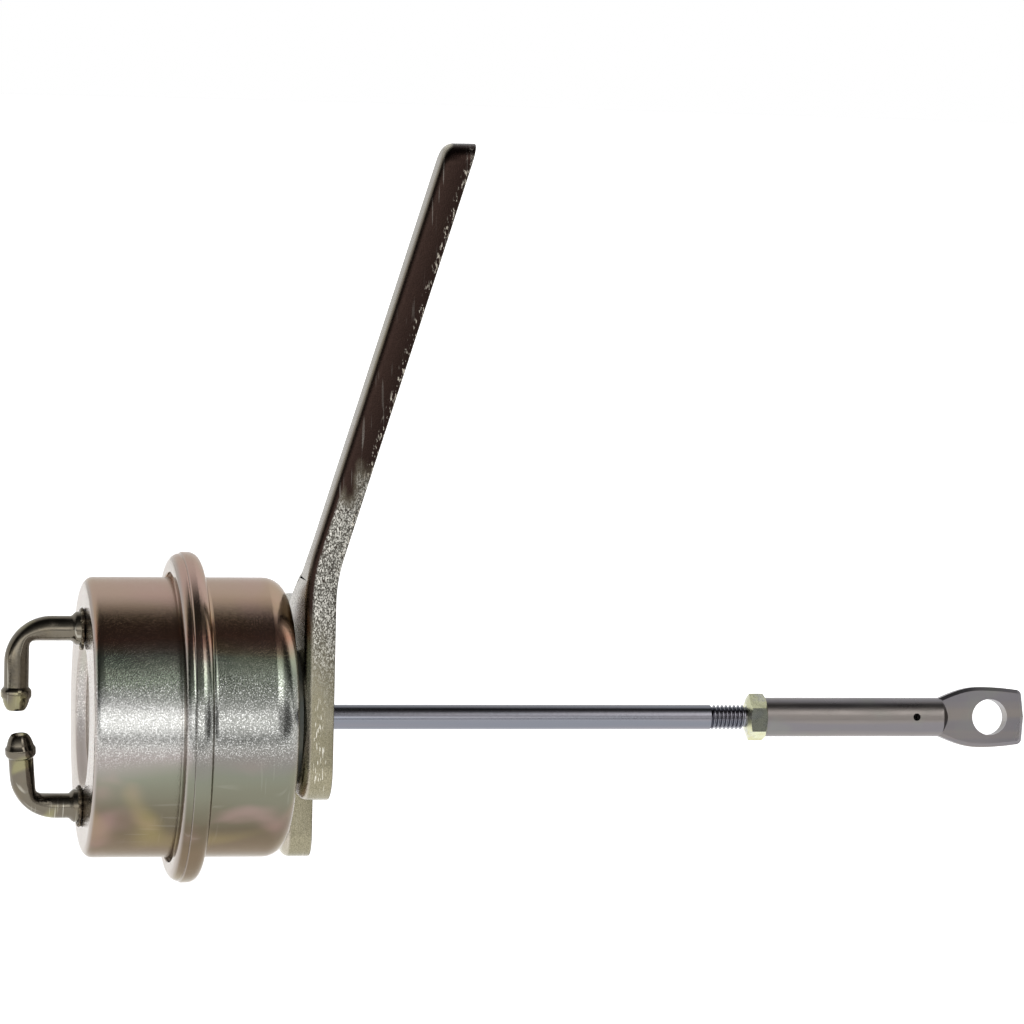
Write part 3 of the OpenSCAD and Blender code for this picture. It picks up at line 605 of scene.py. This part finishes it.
def plain_metal(name, colour, roughness, grain=1500.0, depth=0.00001):
    """Metal of an inner piece, with oily patches and a fine grain."""
    material, wires, shader = start_material(name, 1.0, roughness)
    link = wires.tree.links.new
    oil = wires.noise(wires.place(), 160.0, 3.0)
    darker = tuple(c * 0.65 for c in colour[:3])
    link(wires.mix(wires.fade(oil, 0.4, 0.65), rgba(colour), rgba(darker)), shader["Base Color"])
    link(wires.fade(oil, 0.3, 0.7, roughness + 0.08, max(0.05, roughness - 0.08)), shader["Roughness"])
    relief = use_group(wires, grain_group(), Grain=grain, Wave=150.0, Wave_Share=1.0)
    bump(wires, shader, relief["Height"], depth)
    return material


def soft_finish(name, colour, second, weave, roughness, depth):
    """Rubber, fabric or fibre, with its own weave or grain."""
    material, wires, shader = start_material(name, 0.0, roughness)
    link = wires.tree.links.new
    blotch = wires.noise(wires.place(), 120.0, 3.0)
    grain = wires.noise(wires.place(), weave, 2.0, 0.7)
    colour_out = wires.mix(wires.fade(blotch, 0.4, 0.65), rgba(colour), rgba(second))
    link(colour_out, shader["Base Color"])
    link(wires.fade(grain, 0.3, 0.7, roughness - 0.1, roughness + 0.1), shader["Roughness"])
    bump(wires, shader, grain, depth)
    return material


def dress(node, material):
    """Gives a carried-over solid its finish."""
    slots = NODES[node].material_slots
    if not slots:
        NODES[node].data.materials.append(material)
    for slot in slots:
        slot.material = material


# ---- Mesh helpers ----


def new_piece(name, bm, material):
    """Object at the origin from a finished mesh, shaded smooth but for its sharp edges."""
    bmesh.ops.recalc_face_normals(bm, faces=bm.faces)
    mesh = bpy.data.meshes.new(name)
    bm.to_mesh(mesh)
    bm.free()
    mesh.shade_smooth()
    mesh.set_sharp_from_angle(angle=math.radians(38))
    mesh.materials.append(material)
    piece = bpy.data.objects.new(name, mesh)
    bpy.context.collection.objects.link(piece)
    return piece


def bake_modifiers(piece):
    """Turns the evaluated piece into a plain mesh and clears its modifiers."""
    graph = bpy.context.evaluated_depsgraph_get()
    mesh = bpy.data.meshes.new_from_object(piece.evaluated_get(graph))
    mesh.name = piece.name
    piece.modifiers.clear()
    piece.data = mesh


def loft(rings, closed=False):
    """Mesh through rings of points that have the same count."""
    bm = bmesh.new()
    layers = [[bm.verts.new(p) for p in ring] for ring in rings]
    pairs = list(zip(layers, layers[1:]))
    if closed:
        pairs.append((layers[-1], layers[0]))
    for low, high in pairs:
        for i in range(len(low)):
            j = (i + 1) % len(low)
            bm.faces.new((low[i], low[j], high[j], high[i]))
    return bm


# ---- Pieces ----


def corner(x, r, radius, start, end, steps=7):
    """Points of a rounded corner about (x, r), as (station, radius), with angles from +X.

    A point just before and just after it keeps the shading of the straight walls straight.
    """
    turns = [math.radians(start + (end - start) * i / steps) for i in range(steps + 1)]
    points = [(x + radius * math.cos(a), r + radius * math.sin(a)) for a in turns]
    lead = 0.00008 if end > start else -0.00008
    first, last = turns[0], turns[-1]
    before = (points[0][0] + lead * math.sin(first), points[0][1] - lead * math.cos(first))
    after = (points[-1][0] - lead * math.sin(last), points[-1][1] + lead * math.cos(last))
    return [before] + points + [after]


def spun(name, profile, material, count=192):
    """Solid of revolution about the rod axis from a closed profile of (station, radius) points."""
    rings = []
    for i in range(count):
        a = 2 * math.pi * i / count
        rings.append([(x, r * math.cos(a), r * math.sin(a)) for x, r in profile])
    bm = loft(rings, closed=True)
    bmesh.ops.remove_doubles(bm, verts=bm.verts, dist=1e-6)
    bmesh.ops.dissolve_degenerate(bm, dist=1e-7, edges=bm.edges)
    return new_piece(name, bm, material)


def base_profile():
    """Base can with its shoulder and the rolled curl with the tool's line in it."""
    s = sizes()
    low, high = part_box("base_can")
    back, pad, top = low.x, high.x, high.z
    wall, side, edge = s.can_wall, s.can_radius, s.curl_edge
    face, front = -s.front_face, -s.curl_front
    bend, soft = 0.0013, 0.0004
    bore = 0.00602
    line = back + 0.0021
    dip = s.curl_groove
    outer = [(pad, bore)]
    outer += corner(pad - soft, s.pad_radius - soft, soft, 0, 90, 4)
    outer += [(face + soft, s.pad_radius), (face, s.pad_radius + soft)]
    outer += corner(face - s.shoulder, side - s.shoulder, s.shoulder, 0, 90, 12)
    outer += corner(front + bend, side + bend, bend, 270, 180, 6)
    outer += corner(front - edge, top - edge, edge, 0, 90, 9)
    outer += [(line + 0.0008, top), (line + 0.0006, top - 0.0001), (line + 0.0003, top - dip - 0.0002)]
    outer += corner(back + edge, top - edge - 0.0003, edge, 110, 180, 8)
    outer += corner(back + soft, side + 0.0011 + soft, soft, 180, 270, 4)
    inner = [
        (back + wall, side + 0.0011), (back + wall, top - 3 * wall), (front - wall, top - 3 * wall),
        (front - wall, side - wall), (face - s.shoulder, side - wall),
    ]
    inner += corner(face - s.shoulder, side - s.shoulder, s.shoulder - wall, 90, 0, 8)
    inner += [(face - wall, s.pad_radius - wall), (pad - wall, s.pad_radius - wall), (pad - wall, bore)]
    return outer + inner


def cover_profile():
    """Cover can with its flange, its rim and the softly dished end."""
    s = sizes()
    low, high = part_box("cover_can")
    face, lip, flange = low.x, high.x, high.z
    wall, side = s.can_wall, s.can_radius
    bend = 0.0013
    outer = [(lip, flange), (lip - wall, flange)]
    outer += corner(lip - wall - bend, side + bend, bend, 0, -90, 6)
    outer += corner(face + s.rim, side - s.rim, s.rim, 90, 180, 9)
    dish = []
    for i in range(13):
        t = i / 12
        dish.append((face + s.dish_depth * t * t * (3 - 2 * t), s.dish_radius + 0.0012 - 0.0046 * t))
    outer += dish + [(face + s.dish_depth, 0.0)]
    inner = [(face + s.dish_depth + wall, 0.0)]
    inner += [(x + wall, r) for x, r in reversed(dish)]
    inner += corner(face + s.rim, side - s.rim, s.rim - wall, 180, 90, 6)
    inner += [(lip, side - wall)]
    return outer + inner


def elbow_section(turn, bend, out_radius, half):
    """Distance of a section's centre from the bend centre, and its half height in the plane of the bend."""
    lean = min(turn, bend - turn)
    straight = out_radius - 2 * half
    sharp = straight / math.cos(lean)
    limit = straight / math.cos(bend / 2) - 0.0005
    inner = -math.log(math.exp(-sharp / 0.0002) + math.exp(-limit / 0.0002)) * 0.0002
    inner = max(straight, inner)
    return (out_radius + inner) / 2, (out_radius - inner) / 2


def tube_sections(run, bend, leg):
    """Centre, direction across the bend, and half sizes of each section along a port, root first."""
    s = sizes()
    half = s.tube_radius
    centre_r = s.elbow_out - half
    down = Vector((0, 0, -1))
    pivot = Vector((-run, 0, -centre_r))
    sections = []

    def add(centre, outward, in_plane, out_plane):
        sections.append((centre, outward, in_plane, out_plane))

    for x, r in (
        (0.0026, half), (0.0, half), (-0.0001, s.collar_radius - 0.0003), (-0.0004, s.collar_radius),
        (-0.0018, s.collar_radius), (-0.0023, s.collar_radius - 0.00035), (-0.0027, half + 0.0002),
        (-0.0031, half), (-0.8 * run, half),
    ):
        add(Vector((x, 0, 0)), -down, r, r)
    steps = 22
    for i in range(steps + 1):
        turn = bend * i / steps
        outward = Vector((-math.sin(turn), 0, math.cos(turn)))
        middle, in_plane = elbow_section(turn, bend, s.elbow_out, half)
        flat = half - in_plane
        add(pivot + outward * middle, outward, in_plane, half + flat * 0.12)
    outward = Vector((-math.sin(bend), 0, math.cos(bend)))
    along = Vector((-math.cos(bend), 0, -math.sin(bend)))
    end = pivot + outward * centre_r
    barb = s.barb_radius
    for back, r in (
        (0.0068, half), (0.0056, half + 0.00002), (0.0053, half + 0.0003), (0.0049, barb - 0.0001),
        (0.0046, barb), (0.0034, barb), (0.0031, barb - 0.0001), (0.0029, barb - 0.00035),
        (0.0020, barb - 0.0006), (0.0010, barb - 0.00095), (0.0004, barb - 0.0013), (0.0001, barb - 0.00155),
        (0.0, s.tube_bore + 0.00015), (0.0002, s.tube_bore), (0.003, s.tube_bore),
    ):
        add(end + along * (leg - back), outward, r, r)
    for i in range(steps, -1, -1):
        turn = bend * i / steps
        outward = Vector((-math.sin(turn), 0, math.cos(turn)))
        middle, in_plane = elbow_section(turn, bend, s.elbow_out, half)
        wall = half - s.tube_bore
        add(pivot + outward * middle, outward, in_plane - wall, s.tube_bore)
    for x in (-0.0031, 0.0026):
        add(Vector((x, 0, 0)), -down, s.tube_bore, s.tube_bore)
    return sections


def port_tube(name, run, bend, leg, place, material):
    """Bent port with collar, flattened elbow, hose barb and open bore."""
    count = 40
    across = Vector((0, -1, 0))
    rings = []
    for centre, outward, in_plane, out_plane in tube_sections(run, bend, leg):
        ring = []
        for i in range(count):
            a = 2 * math.pi * i / count
            ring.append(place @ (centre + outward * in_plane * math.cos(a) + across * out_plane * math.sin(a)))
        rings.append(ring)
    return new_piece(name, loft(rings, closed=True), material)


def port_places():
    s = sizes()
    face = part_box("cover_can")[0].x
    upper = Matrix.Translation((face, 0, s.port_offset))
    lower = (
        Matrix.Translation((face, 0, -s.port_offset))
        @ Matrix.Rotation(s.lower_turn, 4, "X")
        @ Matrix.Scale(-1, 4, (0, 0, 1))
    )
    return upper, lower


def crust_ring(name, place, material, seed):
    """Crusted braze bead round a port's root."""
    s = sizes()
    count, sides = 72, 12
    rings = []
    for i in range(count):
        a = 2 * math.pi * i / count
        lump = 1 + 0.22 * math.sin(3 * a + seed) + 0.16 * math.sin(7 * a + 2.1 * seed) + 0.1 * math.sin(17 * a + seed)
        ring = []
        for j in range(sides):
            b = 2 * math.pi * j / sides
            ripple = 1 + 0.12 * math.sin(5 * b + 9 * a + seed)
            r = s.collar_radius + 0.00012 + max(0.0, 0.00045 + 0.00045 * lump * ripple * math.cos(b))
            x = -max(0.00002, (0.00048 + 0.00046 * lump * math.sin(b)))
            ring.append(place @ Vector((x, r * math.cos(a), r * math.sin(a))))
        rings.append(ring)
    return new_piece(name, loft(rings, closed=True), material)


def leg_surfaces(z):
    """Stations of the plate's back and front surface at a height."""
    s = sizes()
    bend, lean = s.bend_start, s.leg_lean
    stations = []
    for radius, flat in ((s.bend_radius + s.plate, -s.plate), (s.bend_radius, 0.0)):
        top = bend + radius * math.sin(lean)
        if z <= bend:
            stations.append(flat)
        elif z <= top:
            stations.append(s.bend_radius - math.sqrt(radius**2 - (z - bend) ** 2))
        else:
            stations.append(s.bend_radius - radius * math.cos(lean) + (z - top) * math.tan(lean))
    return stations


def rolled_bracket(material):
    """The bracket with its rolled back edge and its sharper front edge."""
    s = sizes()
    bm = bmesh.new()
    bm.from_mesh(NODES["bracket"].data)
    bmesh.ops.remove_doubles(bm, verts=bm.verts, dist=2e-6)
    bmesh.ops.dissolve_limit(bm, angle_limit=math.radians(0.4), verts=bm.verts, edges=bm.edges)
    weights = bm.edges.layers.float.new("bevel_weight_edge")
    for edge in bm.edges:
        if len(edge.link_faces) != 2 or edge.calc_face_angle() < math.radians(50):
            continue
        span = edge.verts[1].co - edge.verts[0].co
        if abs(span.x) > 0.9 * span.length:
            continue
        middle = (edge.verts[0].co + edge.verts[1].co) / 2
        back, front = leg_surfaces(middle.z)
        is_bush = math.hypot(middle.y, middle.z) < 0.009
        is_back = abs(middle.x - back) < 0.0018
        in_hole = any(math.hypot(middle.y - y, middle.z - z) < 0.0055 for y, z in BOLT_HOLES)
        if is_bush:
            edge[weights] = 0.05
        elif is_back and not in_hole:
            edge[weights] = 1.0
        else:
            edge[weights] = s.cut_edge / s.roll_edge
    mesh = bpy.data.meshes.new("bracket_plate")
    bm.to_mesh(mesh)
    bm.free()
    piece = bpy.data.objects.new("bracket_plate", mesh)
    bpy.context.collection.objects.link(piece)
    mod = piece.modifiers.new("edges", "BEVEL")
    mod.limit_method = "WEIGHT"
    mod.width = s.roll_edge
    mod.segments = 5
    mod.use_clamp_overlap = False
    bake_modifiers(piece)
    bm = bmesh.new()
    bm.from_mesh(piece.data)
    low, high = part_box("bracket")
    for vert in bm.verts:
        vert.co = [min(max(c, floor), roof) for c, floor, roof in zip(vert.co, low, high)]
    for step in range(-34, 140, 4):
        geometry = bm.verts[:] + bm.edges[:] + bm.faces[:]
        bmesh.ops.bisect_plane(bm, geom=geometry, plane_co=(0, 0, step / 1000), plane_no=(0, 0, 1))
    bmesh.ops.remove_doubles(bm, verts=bm.verts, dist=2e-6)
    bm.to_mesh(piece.data)
    bm.free()
    mesh = piece.data
    mesh.shade_smooth()
    mesh.set_sharp_from_angle(angle=math.radians(35))
    depth = mesh.attributes.new("depth", "FLOAT", "POINT")
    cut = mesh.attributes.new("cut", "FLOAT", "POINT")
    for i, vert in enumerate(mesh.vertices):
        back, front = leg_surfaces(vert.co.z)
        share = (vert.co.x - back) / (front - back)
        depth.data[i].value = min(1.0, max(0.0, share))
        cut.data[i].value = 1.0 if 0.2 < share < 0.99 else 0.0
    mesh.materials.clear()
    mesh.materials.append(material)
    return piece


def thread_tree(material):
    """Geometry nodes that wind a ridge of trapezium section up a spiral."""
    tree = bpy.data.node_groups.new("Wound thread", "GeometryNodeTree")
    for label, kind, value in (
        ("Geometry", "NodeSocketGeometry", None), ("Radius", "NodeSocketFloat", 0.0024),
        ("Height", "NodeSocketFloat", 0.0006), ("Pitch", "NodeSocketFloat", 0.001),
        ("Length", "NodeSocketFloat", 0.008), ("Start", "NodeSocketFloat", 0.0),
    ):
        socket = tree.interface.new_socket(label, in_out="INPUT", socket_type=kind)
        if value is not None:
            socket.default_value = value
    tree.interface.new_socket("Geometry", in_out="OUTPUT", socket_type="NodeSocketGeometry")
    wires = Wires(tree)
    given = tree.nodes.new("NodeGroupInput").outputs
    result = tree.nodes.new("NodeGroupOutput").inputs
    turns = wires.math("DIVIDE", given["Length"], given["Pitch"])
    spiral = wires.add(
        "GeometryNodeCurveSpiral",
        {"Resolution": 40, "Rotations": turns, "Start Radius": given["Radius"], "End Radius": given["Radius"],
         "Height": given["Length"]},
    )
    upright = wires.add("GeometryNodeSetCurveNormal", {"Curve": spiral.outputs[0]})
    if "Normal" in upright.inputs:
        upright.inputs["Mode"].default_value = "Z Up" if "Mode" in upright.inputs else 0
    if hasattr(upright, "mode"):
        upright.mode = "Z_UP"
    along = wires.add("GeometryNodeSplineParameter").outputs["Factor"]
    rise = wires.math("MULTIPLY", along, 14.0)
    grown = wires.math("MINIMUM", 1.0, wires.math("ADD", 0.08, rise))
    sized = wires.add("GeometryNodeSetCurveRadius", {"Curve": upright.outputs[0], "Radius": grown})
    wide = wires.math("MULTIPLY", given["Pitch"], 0.92)
    narrow = wires.math("MULTIPLY", given["Pitch"], 0.2)
    section = wires.add("GeometryNodeCurvePrimitiveQuadrilateral", mode="TRAPEZOID")
    for key, value in (("Bottom Width", wide), ("Top Width", narrow), ("Height", given["Height"])):
        tree.links.new(value, section.inputs[key])
    section.inputs["Offset"].default_value = 0.0
    half = wires.math("MULTIPLY", given["Height"], 0.5)
    lifted = wires.add(
        "GeometryNodeTransform",
        {"Geometry": section.outputs[0],
         "Translation": wires.add("ShaderNodeCombineXYZ", {"Y": half}).outputs[0]},
    )
    turned = wires.add("GeometryNodeTransform", {"Geometry": lifted.outputs[0], "Rotation": (0, 0, math.pi / 2)})
    swept = wires.add(
        "GeometryNodeCurveToMesh",
        {"Curve": sized.outputs[0], "Profile Curve": turned.outputs[0], "Fill Caps": True},
    )
    laid = wires.add(
        "GeometryNodeTransform",
        {"Geometry": swept.outputs[0], "Rotation": (0, math.pi / 2, 0),
         "Translation": wires.add("ShaderNodeCombineXYZ", {"X": given["Start"]}).outputs[0]},
    )
    real = wires.add("GeometryNodeRealizeInstances", {"Geometry": laid.outputs[0]})
    painted = wires.add("GeometryNodeSetMaterial", {"Geometry": real.outputs[0], "Material": material})
    tree.links.new(painted.outputs[0], result["Geometry"])
    return tree


def run_tree(name, tree, values):
    """Object made by a geometry tree, turned into a plain mesh."""
    mesh = bpy.data.meshes.new(name)
    piece = bpy.data.objects.new(name, mesh)
    bpy.context.collection.objects.link(piece)
    mod = piece.modifiers.new("build", "NODES")
    mod.node_group = tree
    names = {item.name: item.identifier for item in tree.interface.items_tree if item.in_out == "INPUT"}
    for label, value in values.items():
        mod[names[label]] = value
    bake_modifiers(piece)
    piece.data.shade_smooth()
    piece.data.set_sharp_from_angle(angle=math.radians(30))
    return piece


# ---- Operators ----


class ACTUATOR_OT_stage(bpy.types.Operator):
    """Make the pale floor, the soft light and the camera"""

    bl_idname = "actuator.stage"
    bl_label = "Stage"

    def execute(self, context):
        studio = context.scene.actuator_studio
        context.scene.view_settings.view_transform = "Standard"
        self.make_camera(context, studio)
        self.make_world(context, studio)
        self.make_floor(context, studio)
        self.make_lamps(context, studio)
        return {"FINISHED"}

    def make_camera(self, context, studio):
        a, e, t = studio.yaw, studio.elevation, studio.roll
        ahead = Vector((math.sin(a) * math.cos(e), math.cos(a) * math.cos(e), -math.sin(e)))
        right = Vector((math.cos(a), -math.sin(a), 0))
        up = right.cross(ahead)
        level = math.atan2(up.x, right.x) + t
        right, up = (
            right * math.cos(level) + up * math.sin(level),
            up * math.cos(level) - right * math.sin(level),
        )
        scale = studio.scale * 1000
        spot = (
            -ahead * (studio.focal / scale)
            - right * ((studio.centre_x - 512) / scale)
            + up * ((studio.centre_y - 512) / scale)
        )
        data = bpy.data.cameras.new("camera")
        data.sensor_width = 36.0
        data.lens = studio.focal / 1024 * 36.0
        data.clip_start, data.clip_end = 0.05, 50.0
        camera = bpy.data.objects.new("camera", data)
        camera.matrix_world = Matrix.Translation(spot) @ Matrix((right, up, -ahead)).transposed().to_4x4()
        context.collection.objects.link(camera)
        context.scene.camera = camera

    def make_world(self, context, studio):
        world = bpy.data.worlds.new("room")
        context.scene.world = world
        world.use_nodes = True
        tree = world.node_tree
        tree.nodes.clear()
        wires = Wires(tree)
        ray = wires.split(wires.add("ShaderNodeTexCoord").outputs["Generated"])
        front = wires.math("MULTIPLY", ray[1], -1.0)
        around = wires.math("ARCTAN2", ray[2], front)
        share = wires.math("ADD", wires.math("DIVIDE", around, 2 * math.pi), 0.5)
        left, right = (
            wires.ramp(share, [(degrees / 360 + 0.5, (level / ROOM_TOP,) * 3) for degrees, level in stops])
            for stops in (ROOM_LEFT, ROOM_RIGHT)
        )
        room = wires.mix(wires.fade(ray[0], 0.172, 0.188), left, right)
        gaps = wires.ramp(
            wires.fade(ray[0], -1.0, 1.0, linear=True),
            [(across / 2 + 0.5, (level,) * 3) for across, level in ROOM_GAPS],
        )
        gaps = wires.mix(wires.fade(front, -0.1, 0.15), (1, 1, 1, 1), gaps)
        room = wires.mix(1.0, room, gaps, "MULTIPLY")
        light = wires.add("ShaderNodeBackground", {"Color": room, "Strength": ROOM_TOP * studio.world_level})
        out = wires.add("ShaderNodeOutputWorld")
        tree.links.new(light.outputs[0], out.inputs[0])

    def make_floor(self, context, studio):
        bm = bmesh.new()
        bmesh.ops.create_circle(bm, cap_ends=True, radius=6.0, segments=128)
        bmesh.ops.translate(bm, verts=bm.verts, vec=(0.05, 5.15, -studio.floor_drop))
        material, wires, shader = start_material("floor paper", 0.0, 0.8)
        mottle = wires.noise(wires.place(), 3.0, 2.0)
        pale = rgba(colours().floor)
        colour = wires.mix(wires.fade(mottle, 0.3, 0.7), pale, rgba(tone("f1f1f1")))
        wires.tree.links.new(colour, shader["Base Color"])
        rays = wires.add("ShaderNodeLightPath").outputs
        seen = wires.math("MAXIMUM", rays["Is Camera Ray"], rays["Is Glossy Ray"])
        seen = wires.math("MAXIMUM", seen, rays["Is Transmission Ray"])
        shader["Emission Color"].default_value = (1, 1, 1, 1)
        wires.tree.links.new(wires.math("MULTIPLY", seen, studio.floor_glow), shader["Emission Strength"])
        new_piece("floor", bm, material)

    def make_lamps(self, context, studio):
        for name, place, width, power in (
            ("key", (-0.5, -0.9, 1.2), 0.9, studio.key_power),
            ("fill", (0.9, -0.6, 0.8), 0.8, studio.key_power * 0.5),
        ):
            data = bpy.data.lights.new(name, "AREA")
            data.shape = "SQUARE"
            data.size = width
            data.energy = power
            lamp = bpy.data.objects.new(name, data)
            spot = Vector(place)
            lamp.location = spot
            lamp.rotation_mode = "QUATERNION"
            lamp.rotation_quaternion = (Vector((0.05, 0, 0)) - spot).to_track_quat("-Z", "Y")
            lamp.visible_glossy = False
            lamp.visible_camera = False
            context.collection.objects.link(lamp)


class ACTUATOR_OT_canister(bpy.types.Operator):
    """Spin and plate both drawn cans"""

    bl_idname = "actuator.canister"
    bl_label = "Canister"

    def execute(self, context):
        zinc = plating("canister plating")
        for name, profile, node in (
            ("cover_shell", cover_profile(), "cover_can"),
            ("base_shell", base_profile(), "base_can"),
        ):
            piece = spun(name, profile, zinc)
            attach(piece, "housing")
            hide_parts(node)
        return {"FINISHED"}


class ACTUATOR_OT_ports(bpy.types.Operator):
    """Make the two bent ports and the braze at their roots"""

    bl_idname = "actuator.ports"
    bl_label = "Ports"

    def execute(self, context):
        s = sizes()
        upper, lower = port_places()
        metal, crust = nickel(), braze_crust()
        tubes = (
            (port_tube("port_tube_upper", s.upper_run, math.pi / 2, s.upper_leg, upper, metal), "upper_port", "port_nickel"),
            (port_tube("port_tube_lower", s.lower_run, s.lower_bend, s.lower_leg, lower, metal), "lower_port", "port_nickel"),
            (crust_ring("braze_bead_upper", upper, crust, 0.7), "upper_braze", "braze"),
            (crust_ring("braze_bead_lower", lower, crust, 2.9), "lower_braze", "braze"),
        )
        for piece, node, slot in tubes:
            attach(piece, "housing")
            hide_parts(node)
        return {"FINISHED"}


class ACTUATOR_OT_bracket(bpy.types.Operator):
    """Make the bracket with its rolled and sheared edges"""

    bl_idname = "actuator.bracket"
    bl_label = "Bracket"

    def execute(self, context):
        piece = rolled_bracket(bracket_steel())
        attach(piece, "housing")
        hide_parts("bracket")
        return {"FINISHED"}


class ACTUATOR_OT_rod(bpy.types.Operator):
    """Plate the rod and wind its thread"""

    bl_idname = "actuator.rod"
    bl_label = "Rod and thread"

    def execute(self, context):
        s = sizes()
        zinc = bright_zinc()
        dress("rod", zinc)
        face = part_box("lock_nut")[0].x
        piece = run_tree(
            "rod_thread", thread_tree(zinc),
            {"Radius": s.thread_root - 0.00003, "Height": s.thread_crest - s.thread_root + 0.00003,
             "Pitch": s.thread_pitch, "Length": face - s.thread_start - 0.0006, "Start": s.thread_start},
        )
        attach(piece, "plunger")
        return {"FINISHED"}


class ACTUATOR_OT_rod_end(bpy.types.Operator):
    """Finish the lock nut and the rod end"""

    bl_idname = "actuator.rod_end"
    bl_label = "Lock nut and rod end"

    def execute(self, context):
        dress("lock_nut", nut_zinc())
        dress("rod_end", satin_steel())
        return {"FINISHED"}


class ACTUATOR_OT_inner(bpy.types.Operator):
    """Finish the pieces inside the canister"""

    bl_idname = "actuator.inner"
    bl_label = "Inner pieces"

    def execute(self, context):
        hue = colours()
        steel = plain_metal("pressed steel", hue.steel, 0.32)
        for node in ("retainer_plate", "piston", "clamp_washer", "backing_washer", "spring_seat", "seal_cap"):
            dress(node, steel)
        dress("main_spring", plain_metal("spring wire", hue.spring, 0.3, 1100.0, 0.000008))
        dress("guide_bush", plain_metal("sintered bronze", hue.bronze, 0.4, 2600.0, 0.00003))
        dress("rod_seal", soft_finish("seal rubber", hue.rubber, tone("242426"), 1400.0, 0.6, 0.00002))
        dress("diaphragm", soft_finish("diaphragm rubber", hue.rubber, hue.cloth, 1800.0, 0.65, 0.00005))
        dress("gasket", soft_finish("gasket fibre", hue.fibre, tone("5b5a50"), 2200.0, 0.8, 0.00006))
        return {"FINISHED"}


class ACTUATOR_PT_panel(bpy.types.Panel):
    """Lists the steps that dress the actuator"""

    bl_idname = "ACTUATOR_PT_panel"
    bl_label = "Wastegate Actuator"
    bl_space_type = "VIEW_3D"
    bl_region_type = "UI"
    bl_category = "Actuator"

    def draw(self, context):
        for step in STEPS:
            self.layout.operator(step.bl_idname)
        for group in ("actuator_sizes", "actuator_colours", "actuator_studio"):
            box = self.layout.box()
            settings = getattr(context.scene, group)
            for key in settings.__class__.__annotations__:
                box.prop(settings, key)


STEPS = (
    ACTUATOR_OT_stage,
    ACTUATOR_OT_canister,
    ACTUATOR_OT_ports,
    ACTUATOR_OT_bracket,
    ACTUATOR_OT_rod,
    ACTUATOR_OT_rod_end,
    ACTUATOR_OT_inner,
)
CLASSES = (ActuatorSizes, ActuatorColours, ActuatorStudio, *STEPS, ACTUATOR_PT_panel)


def register():
    for cls in CLASSES:
        bpy.utils.register_class(cls)
    bpy.types.Scene.actuator_sizes = bpy.props.PointerProperty(type=ActuatorSizes)
    bpy.types.Scene.actuator_colours = bpy.props.PointerProperty(type=ActuatorColours)
    bpy.types.Scene.actuator_studio = bpy.props.PointerProperty(type=ActuatorStudio)


def unregister():
    for name in ("actuator_sizes", "actuator_colours", "actuator_studio"):
        delattr(bpy.types.Scene, name)
    for cls in reversed(CLASSES):
        bpy.utils.unregister_class(cls)


def main():
    register()
    for step in STEPS:
        group, name = step.bl_idname.split(".")
        getattr(getattr(bpy.ops, group), name)()


if __name__ == "__main__":
    main()
